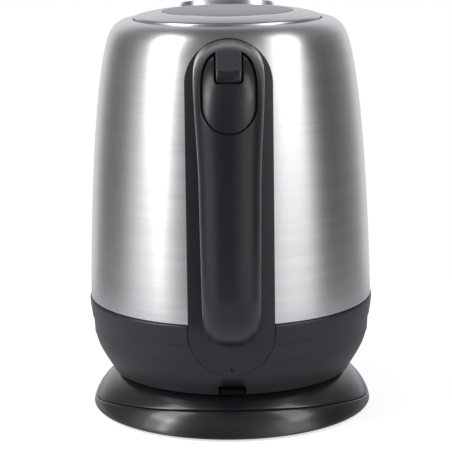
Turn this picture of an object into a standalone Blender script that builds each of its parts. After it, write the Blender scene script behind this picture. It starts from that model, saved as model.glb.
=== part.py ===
"""Cordless electric kettle standing on its power base.

Metres, +Z up. The origin is on the kettle's axis at the level the feet stand on.
The handle points to -Y, the spout to +Y.
Every piece is one closed solid in its own object; moving pieces hang on an empty that
sits on their joint's axis.
"""
from math import asin, atan2, cos, degrees, pi, radians, sin, sqrt, tau

import bmesh
import bpy
from mathutils import Matrix, Vector

# ---------------------------------------------------------------- driving dimensions
FIT = 0.0003                  # gap kept between two pieces that touch
SLIP = 0.0005                 # gap round a piece that turns or slides
STEPS = 48                    # facets round a large turned piece
FINE_STEPS = 24               # facets round a small turned piece

# power base
BASE_RADIUS = 0.0776
BASE_TOP_RADIUS = 0.0575
BASE_HEIGHT = 0.0224
BASE_WALL = 0.0020
BASE_FOOT_GAP = 0.0010        # tray above the surface it stands on
BASE_CROWN_POWER = 1.57       # superellipse power of the base's outer curve
SEAM_FRONT_Z = 0.0153         # the seam between cover and tray climbs towards the handle
SEAM_BACK_Z = 0.0040
SEAM_SLOPE = 0.157
FOOT_RADIUS = 0.0060
FOOT_RING_RADIUS = 0.0580
FOOT_COUNT = 4
SCREW_COUNT = 3

# round connector between base and kettle
PILLAR_RADIUS = 0.0155
PILLAR_RISE = 0.0150          # above the base's top
PILLAR_BORE = 0.0034
GROOVE_INNER = 0.0078
GROOVE_OUTER = 0.0116
GROOVE_DEPTH = 0.0090
SOCKET_WALL = 0.0022

# kettle: skirt, steel body and mouth
STAND_GAP = 0.0004            # kettle's underside above the base's top
SKIRT_HEIGHT = 0.0410
SKIRT_PROUD = 0.00065         # skirt's rim outside the steel
SKIRT_FOOT_RADIUS = 0.0664
SKIRT_WALL = 0.0021
TIER_STEP = 0.0005
UPPER_TIER = 0.0118           # heights of the skirt's tiers, from its rim down
MIDDLE_TIER = 0.0090
BODY_RADIUS = 0.07775         # steel just above the skirt
SKIRT_RADIUS = BODY_RADIUS + SKIRT_PROUD
BODY_HEIGHT = 0.1524          # from the skirt's rim to the mouth's lip
STEEL = 0.0006
MOUTH_RADIUS = 0.0518
SHOULDER_WIDTH = 0.0148
SHOULDER_DROP = 0.0150
LIP_DEPTH = 0.0011
COLLAR_WALL = 0.0024
COLLAR_DEPTH = 0.0110
SEAT_WIDTH = 0.0050

# heater and control
PLATE_DROP = 0.0050           # heater plate below the skirt's rim
PLATE = 0.0010
SPREADER = 0.0030
SPREADER_RADIUS = 0.0620
ELEMENT_RING = 0.0440
ELEMENT_RADIUS = 0.0034
CONTROL_SIZE = (0.0380, 0.0300, 0.0078)
BIMETAL_RADIUS = 0.0070

# spout and filter
SPOUT_HALF_WIDTH = 0.0268
SPOUT_REACH = 0.0160          # nose beyond its straight sides
SPOUT_RISE = 0.0020           # rim above the mouth's lip
SPOUT_LENGTH = 0.0580
SPOUT_SHEET = 0.0008
WINDOW_HALF_WIDTH = 0.0155
WINDOW_HEIGHT = 0.0180
WINDOW_BELOW_LIP = 0.0130
FILTER_DEPTH = 0.0028
FILTER_BARS = 5

# lid
LID_GAP = 0.0008              # round the lid, inside the steel lip
LID_RIM_HEIGHT = 0.0018
LID_RISE = 0.0039             # crown above the mouth's lip
LID_DISC_RADIUS = 0.0352
LID_DISC = 0.0009
LINER_WALL = 0.0024
LINER_DEPTH = 0.0092
SEAL_HEIGHT = 0.0016
HINGE_OUTSET = 0.0012         # hinge axis outside the mouth's lip
HINGE_DROP = 0.0033           # and below it
KNUCKLE_RADIUS = 0.0019
PIN_RADIUS = 0.0008
ARM_INNER_X = 0.0048
ARM_WIDTH = 0.0034
LUG_WIDTH = 0.0030
TAIL_REACH = 0.0060
TAIL_DROP = 0.0041

# handle
FRAME_HALF_WIDTH = 0.0226
FRAME_DEPTH = 0.0045
FRAME_BOTTOM_Z = 0.0365
FRAME_TOP_DROP = 0.0045       # frame's top below the mouth's lip
HANDLE_REACH = 0.0345         # grip's dividing plane beyond the steel
HANDLE_TOP_DROP = 0.0183      # top arm's dividing plane below the mouth's lip
HANDLE_BOTTOM_Z = 0.0668
HANDLE_CORNER = 0.0230
HANDLE_TOP_HALF = 0.0176
HANDLE_MID_HALF = 0.0153
HANDLE_END_HALF = 0.0143
CROWN_TOP = 0.0135
CROWN_MID = 0.0118
CROWN_END = 0.0110
GRIP_WALL = 0.0023
LINER_CROWN = 0.0052
CAP_HALF_WIDTH = 0.0138
CAP_LENGTH = 0.0400           # from the handle's top down to the cap's round end
GAUGE_HALF_WIDTH = 0.0050
GAUGE_TOP_DROP = 0.0420
GAUGE_LENGTH = 0.1000
STEAM_TUBE_RADIUS = 0.0020
STEAM_TUBE_X = 0.0090

# lid release
BUTTON_HALF_WIDTH = 0.0062
BUTTON_GAP = 0.0009
BUTTON_TILT = radians(52.5)
BUTTON_TRAVEL = 0.0024
BUTTON_LENGTH = 0.0205
BUTTON_DEPTH = 0.0030
BUTTON_RISE = 0.0020           # button's face above the handle
BOLT_HALF_WIDTH = 0.0036
BOLT_THICKNESS = 0.0024
BOLT_TRAVEL = 0.0024
BOLT_DROP = 0.0080            # bolt's top below the mouth's lip
WEDGE_HALF_WIDTH = 0.0014
WEDGE_SHIFT = 0.0037          # wedge's tip along the button from its centre
WEDGE_REACH = 0.0096          # and below its face
WEDGE_LENGTH = 0.0056
SPRING_SHIFT = 0.0048

# switch under the handle
PADDLE_HALF_WIDTH = 0.0062
PADDLE_THICKNESS = 0.0026
PADDLE_TIP = 0.0742           # tip's distance from the axis
PADDLE_AXIS_Y = -0.0520
PADDLE_AXIS_Z = 0.0300
PADDLE_TAIL = 0.0190
SWITCH_PIN_RADIUS = 0.0010

# ---------------------------------------------------------------- derived levels
SEAM_GAP = FIT
SKIRT_FOOT_Z = BASE_HEIGHT + STAND_GAP
SKIRT_RIM_Z = SKIRT_FOOT_Z + SKIRT_HEIGHT - 0.0008
LIP_Z = SKIRT_RIM_Z + BODY_HEIGHT
PLATE_Z = SKIRT_RIM_Z - PLATE_DROP
NECK_RADIUS = MOUTH_RADIUS + SHOULDER_WIDTH
NECK_Z = LIP_Z - SHOULDER_DROP
TUCK_RADIUS = BODY_RADIUS - 0.0029
TUCK_Z = PLATE_Z - 0.0070
HINGE_Y = -(MOUTH_RADIUS + HINGE_OUTSET)
HINGE_Z = LIP_Z - HINGE_DROP
LID_RADIUS = MOUTH_RADIUS - STEEL - LID_GAP
LID_FOOT_Z = LIP_Z - 0.0003
COLLAR_RADIUS = MOUTH_RADIUS - STEEL - FIT
COLLAR_TOP_Z = LID_FOOT_Z - FIT
SEAT_Z = COLLAR_TOP_Z - COLLAR_DEPTH
LINER_RADIUS = COLLAR_RADIUS - COLLAR_WALL - LID_GAP
FRAME_TOP_Z = LIP_Z - FRAME_TOP_DROP
GRIP_Y = -(BODY_RADIUS + HANDLE_REACH)
HANDLE_TOP_Z = LIP_Z - HANDLE_TOP_DROP
BOLT_TOP_Z = LIP_Z - BOLT_DROP
SPOUT_TOP_Z = LIP_Z + SPOUT_RISE
SPOUT_SIDE_Y = BODY_RADIUS - 0.0050
GAUGE_TOP_Z = LIP_Z - GAUGE_TOP_DROP
PILLAR_TOP_Z = BASE_HEIGHT + PILLAR_RISE
SOCKET_TOP_Z = PILLAR_TOP_Z + SLIP + SOCKET_WALL


# ---------------------------------------------------------------- scene and materials
def clear_scene():
    for item in list(bpy.data.objects):
        bpy.data.objects.remove(item, do_unlink=True)


def finish(name, colour, roughness, metallic=0.0):
    material = bpy.data.materials.new(name)
    material.use_nodes = True
    shader = material.node_tree.nodes["Principled BSDF"]
    shader.inputs["Base Color"].default_value = (*colour, 1.0)
    shader.inputs["Roughness"].default_value = roughness
    shader.inputs["Metallic"].default_value = metallic
    return material


def empty(name, place, parent=None):
    item = bpy.data.objects.new(name, None)
    item.location = place
    bpy.context.scene.collection.objects.link(item)
    bpy.context.view_layer.update()
    if parent:
        item.parent = parent
        item.matrix_parent_inverse = parent.matrix_world.inverted()
        bpy.context.view_layer.update()
    return item


def to_object(name, bm, material, parent):
    """Turn a bmesh in world coordinates into an object that hangs on its parent."""
    bmesh.ops.remove_doubles(bm, verts=bm.verts[:], dist=1e-6)
    bmesh.ops.recalc_face_normals(bm, faces=bm.faces[:])
    mesh = bpy.data.meshes.new(name)
    bm.to_mesh(mesh)
    bm.free()
    mesh.shade_smooth()
    mesh.set_sharp_from_angle(angle=radians(32))
    item = bpy.data.objects.new(name, mesh)
    bpy.context.scene.collection.objects.link(item)
    if material:
        mesh.materials.append(material)
    if parent:
        item.parent = parent
        item.matrix_parent_inverse = parent.matrix_world.inverted()
    return item


def combine(item, tool, operation):
    """Boolean the tool into the item, keep the result as the item's mesh, drop the tool."""
    modifier = item.modifiers.new(operation, "BOOLEAN")
    modifier.operation = operation
    modifier.object = tool
    modifier.solver = "EXACT"
    bpy.context.view_layer.update()
    graph = bpy.context.evaluated_depsgraph_get()
    result = bpy.data.meshes.new_from_object(item.evaluated_get(graph))
    item.modifiers.clear()
    item.data = result
    result.shade_smooth()
    result.set_sharp_from_angle(angle=radians(32))
    bpy.data.objects.remove(tool, do_unlink=True)
    return item


def cut(item, *tools):
    for tool in tools:
        combine(item, tool, "DIFFERENCE")
    return item


def join(item, *tools):
    for tool in tools:
        combine(item, tool, "UNION")
    return item


# ---------------------------------------------------------------- modelling helpers
def turned(name, outline, material=None, parent=None, steps=STEPS, centre=(0.0, 0.0)):
    """Spin an outline of (radius, z) about the vertical axis through centre."""
    bm = bmesh.new()
    points = [bm.verts.new((centre[0], centre[1] - r, z)) for r, z in outline]
    edges = [bm.edges.new(pair) for pair in zip(points, points[1:])]
    if outline[0][0] > 0 or outline[-1][0] > 0:
        edges.append(bm.edges.new((points[-1], points[0])))
    bmesh.ops.spin(bm, geom=points + edges, cent=(centre[0], centre[1], 0), axis=(0, 0, 1),
                   angle=tau, steps=steps, use_merge=True)
    return to_object(name, bm, material, parent)


def lofted(name, loops, material=None, parent=None, ring=False):
    """Skin a row of closed loops that have the same number of points."""
    bm = bmesh.new()
    rows = [[bm.verts.new(point) for point in loop] for loop in loops]
    pairs = list(zip(rows, rows[1:]))
    if ring:
        pairs.append((rows[-1], rows[0]))
    else:
        bm.faces.new(rows[0])
        bm.faces.new(rows[-1])
    count = len(rows[0])
    for low, high in pairs:
        for i in range(count):
            j = (i + 1) % count
            bm.faces.new((low[i], low[j], high[j], high[i]))
    return to_object(name, bm, material, parent)


def prism(name, outline, axis, start, end, material=None, parent=None):
    """Extrude an outline along X, Y or Z; its pairs are the other two axes in order."""
    def point(a, b, depth):
        return {"X": (depth, a, b), "Y": (a, depth, b), "Z": (a, b, depth)}[axis]
    loops = [[point(a, b, depth) for a, b in outline] for depth in (start, end)]
    return lofted(name, loops, material, parent)


def block(name, low, high, material=None, parent=None):
    outline = [(low[0], low[1]), (high[0], low[1]), (high[0], high[1]), (low[0], high[1])]
    return prism(name, outline, "Z", low[2], high[2], material, parent)


def rod(name, start, end, radius, material=None, parent=None, sides=12):
    """A round bar between two points."""
    start, end = Vector(start), Vector(end)
    turn = Vector((0, 0, 1)).rotation_difference(end - start).to_matrix()
    ring = [turn @ Vector((radius * cos(tau * i / sides), radius * sin(tau * i / sides), 0))
            for i in range(sides)]
    return lofted(name, [[start + p for p in ring], [end + p for p in ring]], material, parent)


def swept(name, path, radius, material=None, parent=None, sides=8):
    """A round tube or wire along a smooth open path."""
    points = [Vector(p) for p in path]
    loops = []
    side = None
    for i, point in enumerate(points):
        ahead = points[min(i + 1, len(points) - 1)] - points[max(i - 1, 0)]
        ahead.normalize()
        if side is None:
            side = ahead.orthogonal().normalized()
        side = (side - ahead * side.dot(ahead)).normalized()
        other = ahead.cross(side)
        loops.append([point + radius * (cos(tau * k / sides) * side + sin(tau * k / sides) * other)
                      for k in range(sides)])
    return lofted(name, loops, material, parent)


def stadium(half_width, low, high, sides=12):
    """Upright slot outline with round ends, as (x, z) pairs."""
    outline = []
    for centre, first in ((low + half_width, pi), (high - half_width, 0.0)):
        outline += [(half_width * cos(first + pi * i / sides), centre + half_width * sin(first + pi * i / sides))
                    for i in range(sides + 1)]
    return outline


def bezier(p0, p1, p2, p3, count):
    """Points of a cubic curve, both ends included."""
    points = []
    for i in range(count + 1):
        t = i / count
        weights = ((1 - t) ** 3, 3 * (1 - t) ** 2 * t, 3 * (1 - t) * t ** 2, t ** 3)
        points.append(tuple(sum(w * p[k] for w, p in zip(weights, (p0, p1, p2, p3))) for k in (0, 1)))
    return points


# ---------------------------------------------------------------- outlines of the body
def steel_outline(count_wall=6, count_shoulder=5):
    """Outer line of the steel from the skirt's rim to the mouth's lip, as (radius, z)."""
    run = NECK_Z - SKIRT_RIM_Z
    gain = BODY_RADIUS - NECK_RADIUS
    wall = bezier((BODY_RADIUS, SKIRT_RIM_Z), (BODY_RADIUS - 0.12 * gain, SKIRT_RIM_Z + 0.35 * run),
                  (BODY_RADIUS - 0.38 * gain, SKIRT_RIM_Z + 0.79 * run), (NECK_RADIUS, NECK_Z), count_wall)
    shoulder = bezier((NECK_RADIUS, NECK_Z), (NECK_RADIUS - 0.15 * SHOULDER_WIDTH, NECK_Z + 0.60 * SHOULDER_DROP),
                      (NECK_RADIUS - 0.34 * SHOULDER_WIDTH, LIP_Z), (MOUTH_RADIUS, LIP_Z), count_shoulder)
    return wall + shoulder[1:]


def skirt_outline():
    """Outer line of the skirt from its foot to its rim: a round foot and three tiers."""
    rim_z = SKIRT_RIM_Z
    upper_z = rim_z - UPPER_TIER
    middle_z = upper_z - MIDDLE_TIER
    middle_r = SKIRT_RADIUS - 4 * TIER_STEP
    lower_r = middle_r - 1.6 * TIER_STEP
    foot = bezier((SKIRT_FOOT_RADIUS, SKIRT_FOOT_Z), (SKIRT_FOOT_RADIUS + 0.0015, SKIRT_FOOT_Z + 0.0035),
                  (lower_r - 0.0010, middle_z - 0.0075), (lower_r, middle_z), 5)
    tiers = [(lower_r + TIER_STEP, middle_z + TIER_STEP), (middle_r + 0.0001, upper_z),
             (middle_r + 1.5 * TIER_STEP, upper_z + TIER_STEP), (SKIRT_RADIUS - 0.0004, rim_z - 0.0055),
             (SKIRT_RADIUS, rim_z - 0.0012), (SKIRT_RADIUS - 0.0004, rim_z - FIT)]
    return foot + tiers


def radius_at(outline, z):
    """Radius of an outline of (radius, z) at a height."""
    for (r0, z0), (r1, z1) in zip(outline, outline[1:]):
        if z0 <= z <= z1 and z1 > z0:
            return r0 + (r1 - r0) * (z - z0) / (z1 - z0)
    return outline[0][0] if z < outline[0][1] else outline[-1][0]


def shell_radius(z):
    """Outermost radius of skirt or steel at a height."""
    if z <= SKIRT_RIM_Z:
        return radius_at(skirt_outline(), z)
    return radius_at(steel_outline(), z)


def base_radius(z, radius, top_radius, top_z):
    """Radius of the base's domed curve at a height."""
    share = min(1.0, max(0.0, (z - BASE_FOOT_GAP) / (top_z - BASE_FOOT_GAP)))
    lift = share ** BASE_CROWN_POWER
    return top_radius + (radius - top_radius) * (1 - lift) ** (1 / BASE_CROWN_POWER)


def seam_z(angle):
    """Height of the base's seam at an angle from the handle's side."""
    front = SEAM_FRONT_Z - SEAM_SLOPE * BASE_RADIUS * 0.94 * (1 - cos(angle))
    return max(SEAM_BACK_Z, front)


# ---------------------------------------------------------------- power base
def base_loop(angle, pairs):
    return [(r * sin(angle), -r * cos(angle), z) for r, z in pairs]


def dome_heights(start, end, count, bunch=1.7):
    """Heights that crowd towards the flat top, where the curve bends most."""
    return [end - (end - start) * (1 - i / count) ** bunch for i in range(count + 1)]


def make_base_cover(black, parent):
    """Domed upper shell; its lower edge is the seam, higher under the handle."""
    loops = []
    inner_top = BASE_HEIGHT - BASE_WALL
    hole = PILLAR_RADIUS + FIT
    for i in range(STEPS):
        angle = tau * i / STEPS
        low = seam_z(angle)
        outer = [(base_radius(z, BASE_RADIUS, BASE_TOP_RADIUS, BASE_HEIGHT), z)
                 for z in dome_heights(low, BASE_HEIGHT, 6)]
        inner = [(base_radius(z, BASE_RADIUS - BASE_WALL, BASE_TOP_RADIUS - BASE_WALL, inner_top), z)
                 for z in reversed(dome_heights(low, inner_top, 4))]
        loops.append(base_loop(angle, outer + [(hole, BASE_HEIGHT), (hole, inner_top)] + inner))
    return lofted("base_cover", loops, black, parent, ring=True)


def make_base_tray(black, parent):
    """Lower shell: a floor with a wall that rises to the seam."""
    loops = []
    floor_z = BASE_FOOT_GAP + BASE_WALL
    rim = BASE_RADIUS - 0.0016
    for i in range(STEPS):
        angle = tau * i / STEPS
        top = seam_z(angle) - SEAM_GAP
        heights = [BASE_FOOT_GAP + 0.0010 + (top - BASE_FOOT_GAP - 0.0010) * k / 3 for k in range(4)]
        outer = [(base_radius(z, BASE_RADIUS, BASE_TOP_RADIUS, BASE_HEIGHT), z) for z in heights]
        wall = BASE_RADIUS - BASE_WALL
        inner_top = (base_radius(top, wall, BASE_TOP_RADIUS - BASE_WALL, BASE_HEIGHT - BASE_WALL), top)
        floor_r = wall - 0.0035
        bend = (min(inner_top[0], floor_r + 0.0005), floor_z + 0.3 * (top - floor_z))
        loops.append(base_loop(angle, [(rim, BASE_FOOT_GAP)] + outer + [inner_top, bend, (floor_r, floor_z)]
                               + [(0.0, floor_z), (0.0, BASE_FOOT_GAP)]))
    tray = lofted("base_tray", loops, black, parent, ring=True)
    return tray


def foot_centres():
    return [(FOOT_RING_RADIUS * sin(tau * (i + 0.5) / FOOT_COUNT), -FOOT_RING_RADIUS * cos(tau * (i + 0.5) / FOOT_COUNT))
            for i in range(FOOT_COUNT)]


def make_feet(tray, rubber, parent):
    """Rubber feet let into shallow pockets of the tray."""
    pocket = BASE_FOOT_GAP + 0.0010
    for i, centre in enumerate(foot_centres()):
        cut(tray, turned("pocket", [(0, pocket), (FOOT_RADIUS + FIT, pocket), (FOOT_RADIUS + FIT, -0.001), (0, -0.001)],
                         steps=FINE_STEPS, centre=centre))
        turned("rubber_foot_%d" % (i + 1),
               [(0, pocket - FIT), (FOOT_RADIUS, pocket - FIT), (FOOT_RADIUS, 0.0004), (FOOT_RADIUS - 0.0004, 0.0),
                (0, 0.0)], rubber, parent, steps=FINE_STEPS, centre=centre)


def make_base_screws(tray, steel, parent):
    """Three screws, sunk in counterbores, that hold tray and cover together."""
    for i in range(SCREW_COUNT):
        angle = tau * i / SCREW_COUNT
        centre = (0.040 * sin(angle), -0.040 * cos(angle))
        low = BASE_FOOT_GAP + 0.0004
        step = BASE_FOOT_GAP + 0.0011
        top = BASE_FOOT_GAP + BASE_WALL + 0.0040
        cut(tray, turned("bore", [(0, top), (0.0015, top), (0.0015, step), (0.0031, step), (0.0031, -0.001),
                                  (0, -0.001)], steps=12, centre=centre))
        shank = 0.0012
        turned("base_screw_%d" % (i + 1),
               [(0, top - 0.0006), (shank, top - 0.0006), (shank, step - FIT), (0.0027, step - FIT), (0.0027, low),
                (0, low)], steel, parent, steps=12, centre=centre)


def make_connector(dark, brass, parent):
    """Round pillar that the kettle drops onto, with its contacts."""
    foot_z = BASE_FOOT_GAP + BASE_WALL + FIT
    flange = BASE_HEIGHT - BASE_WALL - FIT
    groove_z = PILLAR_TOP_Z - GROOVE_DEPTH
    turned("base_connector",
           [(PILLAR_BORE, foot_z), (PILLAR_BORE, PILLAR_TOP_Z - 0.0004), (PILLAR_BORE + 0.0004, PILLAR_TOP_Z),
            (GROOVE_INNER, PILLAR_TOP_Z), (GROOVE_INNER, groove_z), (GROOVE_OUTER, groove_z),
            (GROOVE_OUTER, PILLAR_TOP_Z), (PILLAR_RADIUS - 0.0012, PILLAR_TOP_Z),
            (PILLAR_RADIUS, PILLAR_TOP_Z - 0.0012), (PILLAR_RADIUS, flange), (PILLAR_RADIUS + 0.0040, flange),
            (PILLAR_RADIUS + 0.0040, foot_z)], dark, parent, steps=36)
    sleeve = PILLAR_BORE - FIT
    turned("contact_sleeve",
           [(sleeve - 0.0008, foot_z + 0.004), (sleeve, foot_z + 0.004), (sleeve, PILLAR_TOP_Z - 0.0030),
            (sleeve - 0.0008, PILLAR_TOP_Z - 0.0030)], brass, parent, steps=16)
    track = GROOVE_OUTER - FIT
    turned("contact_track",
           [(track - 0.0007, groove_z + FIT), (track, groove_z + FIT), (track, PILLAR_TOP_Z - 0.0020),
            (track - 0.0007, PILLAR_TOP_Z - 0.0020)], brass, parent, steps=FINE_STEPS)


def make_cord_inlet(cover, tray, dark, parent):
    """Grommet at the far side of the base where the lead would enter."""
    y_in = BASE_RADIUS - 0.0083
    y_out = BASE_RADIUS - 0.0006
    centre_z = 0.0086
    def ring(radius, y, sides=16):
        return [(radius * cos(tau * i / sides), y, centre_z + radius * sin(tau * i / sides)) for i in range(sides)]
    for shell in (cover, tray):
        cut(shell, lofted("hole", [ring(0.0043 + FIT, 0.0600), ring(0.0043 + FIT, 0.0900)]))
    grommet = lofted("cord_inlet", [ring(0.0052, y_in - 0.0030), ring(0.0052, y_in - 0.0015),
                                    ring(0.0043, y_in - 0.0015), ring(0.0043, y_out)], dark, parent)
    cut(grommet, lofted("bore", [ring(0.0031, 0.0500, 12), ring(0.0031, 0.0900, 12)]))


def build_power_base(root, paint):
    cover = make_base_cover(paint["gloss black"], root)
    tray = make_base_tray(paint["gloss black"], root)
    make_feet(tray, paint["rubber"], root)
    make_base_screws(tray, paint["screw steel"], root)
    make_connector(paint["dark plastic"], paint["brass"], root)
    make_cord_inlet(cover, tray, paint["dark plastic"], root)


# ---------------------------------------------------------------- kettle underside
def build_socket(socket, paint):
    """Cup under the kettle that drops over the base's pillar."""
    inner = PILLAR_RADIUS + SLIP
    outer = inner + SOCKET_WALL
    foot = SKIRT_FOOT_Z + 0.0006
    roof = PILLAR_TOP_Z + SLIP
    turned("kettle_socket",
           [(0, SOCKET_TOP_Z), (outer, SOCKET_TOP_Z), (outer, foot + 0.0040), (outer + 0.0030, foot + 0.0040),
            (outer + 0.0030, foot + 0.0024), (outer, foot + 0.0024), (outer, foot), (inner + 0.0006, foot),
            (inner, foot + 0.0010), (inner, roof), (0, roof)], paint["dark plastic"], socket, steps=36)
    pin = PILLAR_BORE - FIT - 0.0008 - FIT
    turned("socket_pin",
           [(0, roof - FIT), (pin, roof - FIT), (pin, PILLAR_TOP_Z - 0.0090), (pin - 0.0006, PILLAR_TOP_Z - 0.0100),
            (0, PILLAR_TOP_Z - 0.0100)], paint["brass"], socket, steps=12)
    blade = GROOVE_OUTER - FIT - 0.0007 - 2 * FIT
    turned("socket_ring",
           [(blade - 0.0009, roof - FIT), (blade, roof - FIT), (blade, PILLAR_TOP_Z - GROOVE_DEPTH + 0.0012),
            (blade - 0.0009, PILLAR_TOP_Z - GROOVE_DEPTH + 0.0012)], paint["brass"], socket, steps=FINE_STEPS)
    return outer


def make_skirt(black, parent):
    """Tiered plastic skirt, notched at its foot for the switch paddle."""
    outer = skirt_outline()
    middle_z = SKIRT_RIM_Z - UPPER_TIER - MIDDLE_TIER
    tuck = TUCK_RADIUS + FIT
    foot = SKIRT_FOOT_RADIUS - 0.0032
    inner = [(foot, SKIRT_FOOT_Z), (foot, SKIRT_FOOT_Z + 0.0035)]
    inner += [(r - SKIRT_WALL, z) for r, z in outer if SKIRT_FOOT_Z + 0.0045 < z <= middle_z]
    inner += [(inner[-1][0], middle_z + 0.0030), (tuck, TUCK_Z - 2 * FIT), (tuck, SKIRT_RIM_Z - FIT)]
    skirt = turned("base_skirt", outer + inner[::-1], black, parent)
    half = PADDLE_HALF_WIDTH + 0.0010
    cut(skirt, block("notch", (-half, -SKIRT_RADIUS - 0.01, SKIRT_FOOT_Z - 0.01),
                     (half, -SKIRT_FOOT_RADIUS + 0.0100, SKIRT_FOOT_Z + 0.0052)))
    return skirt


def make_bottom_cover(socket_outer, black, parent):
    """Disc that closes the skirt from below, with a hole for the socket and a paddle slot."""
    rim = SKIRT_FOOT_RADIUS - 0.0032 - FIT
    hole = socket_outer + FIT
    low = SKIRT_FOOT_Z
    cover = turned("bottom_cover", [(rim, low + 0.0024), (hole, low + 0.0024), (hole, low), (rim - 0.0010, low),
                                    (rim, low + 0.0006)], black, parent)
    half = PADDLE_HALF_WIDTH + 0.0010
    cut(cover, block("slot", (-half, -rim - 0.01, low - 0.01), (half, PADDLE_AXIS_Y + 0.0080, low + 0.01)))
    return cover


def make_bottom_screws(cover, steel, parent):
    low = SKIRT_FOOT_Z + 0.0002
    for i in range(SCREW_COUNT):
        angle = tau * (i + 0.5) / SCREW_COUNT
        centre = (0.050 * sin(angle), -0.050 * cos(angle))
        cut(cover, turned("bore", [(0, low + 0.01), (0.0016, low + 0.01), (0.0016, low + 0.0010),
                                   (0.0033, low + 0.0010), (0.0033, low - 0.01), (0, low - 0.01)],
                          steps=12, centre=centre))
        turned("bottom_screw_%d" % (i + 1),
               [(0, low + 0.0100), (0.0012, low + 0.0100), (0.0012, low + 0.0007), (0.0029, low + 0.0007),
                (0.0029, low), (0, low)], steel, parent, steps=12, centre=centre)


def make_heater(paint, parent):
    """Vessel floor with its heat spreader, element and control."""
    top = PLATE_Z
    rim = TUCK_RADIUS - STEEL - FIT
    turned("heater_plate", [(0, top), (rim - 0.0010, top), (rim, top - 0.0010), (rim, top - 0.0065),
                            (rim - PLATE, top - 0.0065), (rim - PLATE, top - PLATE), (0, top - PLATE)],
           paint["steel"], parent)
    spread = top - PLATE - FIT
    turned("heat_spreader", [(0, spread), (SPREADER_RADIUS, spread), (SPREADER_RADIUS, spread - SPREADER),
                             (0, spread - SPREADER)], paint["aluminium"], parent, steps=36)
    level = spread - SPREADER - FIT - ELEMENT_RADIUS
    sweep = radians(290)
    path = [(ELEMENT_RING * sin(pi + sweep * (i / 26 - 0.5)), -ELEMENT_RING * cos(pi + sweep * (i / 26 - 0.5)), level)
            for i in range(27)]
    element = swept("heating_element", path, ELEMENT_RADIUS, paint["element"], parent, sides=10)
    for end in (path[0], path[-1]):
        join(element, rod("terminal", (end[0], end[1], level - 0.0005), (end[0], end[1], level - 0.0100), 0.0022, sides=8))
    return level


def make_control(paint, parent):
    """Thermostat block over the socket, with its snap disc."""
    low = SOCKET_TOP_Z + FIT
    sx, sy, sz = CONTROL_SIZE
    block("control_unit", (-sx / 2, -sy / 2, low), (sx / 2, sy / 2, low + sz), paint["bakelite"], parent)
    face = -sy / 2 - FIT
    disc = [(BIMETAL_RADIUS * cos(tau * i / 16), low + sz / 2 + 0.0004 + 0.50 * BIMETAL_RADIUS * sin(tau * i / 16))
            for i in range(16)]
    prism("bimetal_disc", disc, "Y", face, face - 0.0006, paint["brass"], parent)


def build_switch(paint, pivot, kettle, lever_pivot):
    """Paddle under the handle, its pin, and the trip lever inside the skirt."""
    y0, z0 = PADDLE_AXIS_Y, PADDLE_AXIS_Z
    tip_z = SKIRT_FOOT_Z + 0.0020
    half = PADDLE_HALF_WIDTH
    thick = PADDLE_THICKNESS
    outline = [(y0 + PADDLE_TAIL, z0 - 0.0012), (y0 + PADDLE_TAIL, z0 + 0.0010), (y0 + 0.0022, z0 + 0.0026),
               (y0 - 0.0022, z0 + 0.0026), (-0.0625, tip_z + thick), (-PADDLE_TIP + 0.0010, tip_z + thick),
               (-PADDLE_TIP, tip_z + thick - 0.0010), (-PADDLE_TIP, tip_z + 0.0006), (-PADDLE_TIP + 0.0010, tip_z),
               (-0.0610, tip_z), (y0 - 0.0030, z0 - 0.0026), (y0 + 0.0022, z0 - 0.0026)]
    paddle = prism("power_switch", outline, "X", -half, half, paint["satin black"], pivot)
    cut(paddle, rod("bore", (-0.02, y0, z0), (0.02, y0, z0), SWITCH_PIN_RADIUS + FIT))
    rod("switch_pin", (-half - 0.0030, y0, z0), (half + 0.0030, y0, z0), SWITCH_PIN_RADIUS, paint["screw steel"], kettle)
    ly, lz = lever_axis()
    foot_z = z0 + 0.0010 + FIT
    arm = [(ly - 0.0140, foot_z), (ly - 0.0115, foot_z), (ly - 0.0100, lz - 0.0014), (ly - 0.0020, lz - 0.0022),
           (ly + 0.0016, lz - 0.0022), (ly + 0.0019, lz + 0.0014), (ly - 0.0002, lz + 0.0070), (ly - 0.0020, lz + 0.0070),
           (ly - 0.0022, lz + 0.0024), (ly - 0.0140, lz - 0.0004)]
    lever = prism("trip_lever", arm, "X", -0.0040, 0.0040, paint["bakelite"], lever_pivot)
    cut(lever, rod("bore", (-0.02, ly, lz), (0.02, ly, lz), SWITCH_PIN_RADIUS + FIT))
    rod("trip_pin", (-0.0070, ly, lz), (0.0070, ly, lz), SWITCH_PIN_RADIUS, paint["screw steel"], kettle)


def lever_axis():
    return -CONTROL_SIZE[1] / 2 - 0.0060, PADDLE_AXIS_Z + 0.0052


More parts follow.
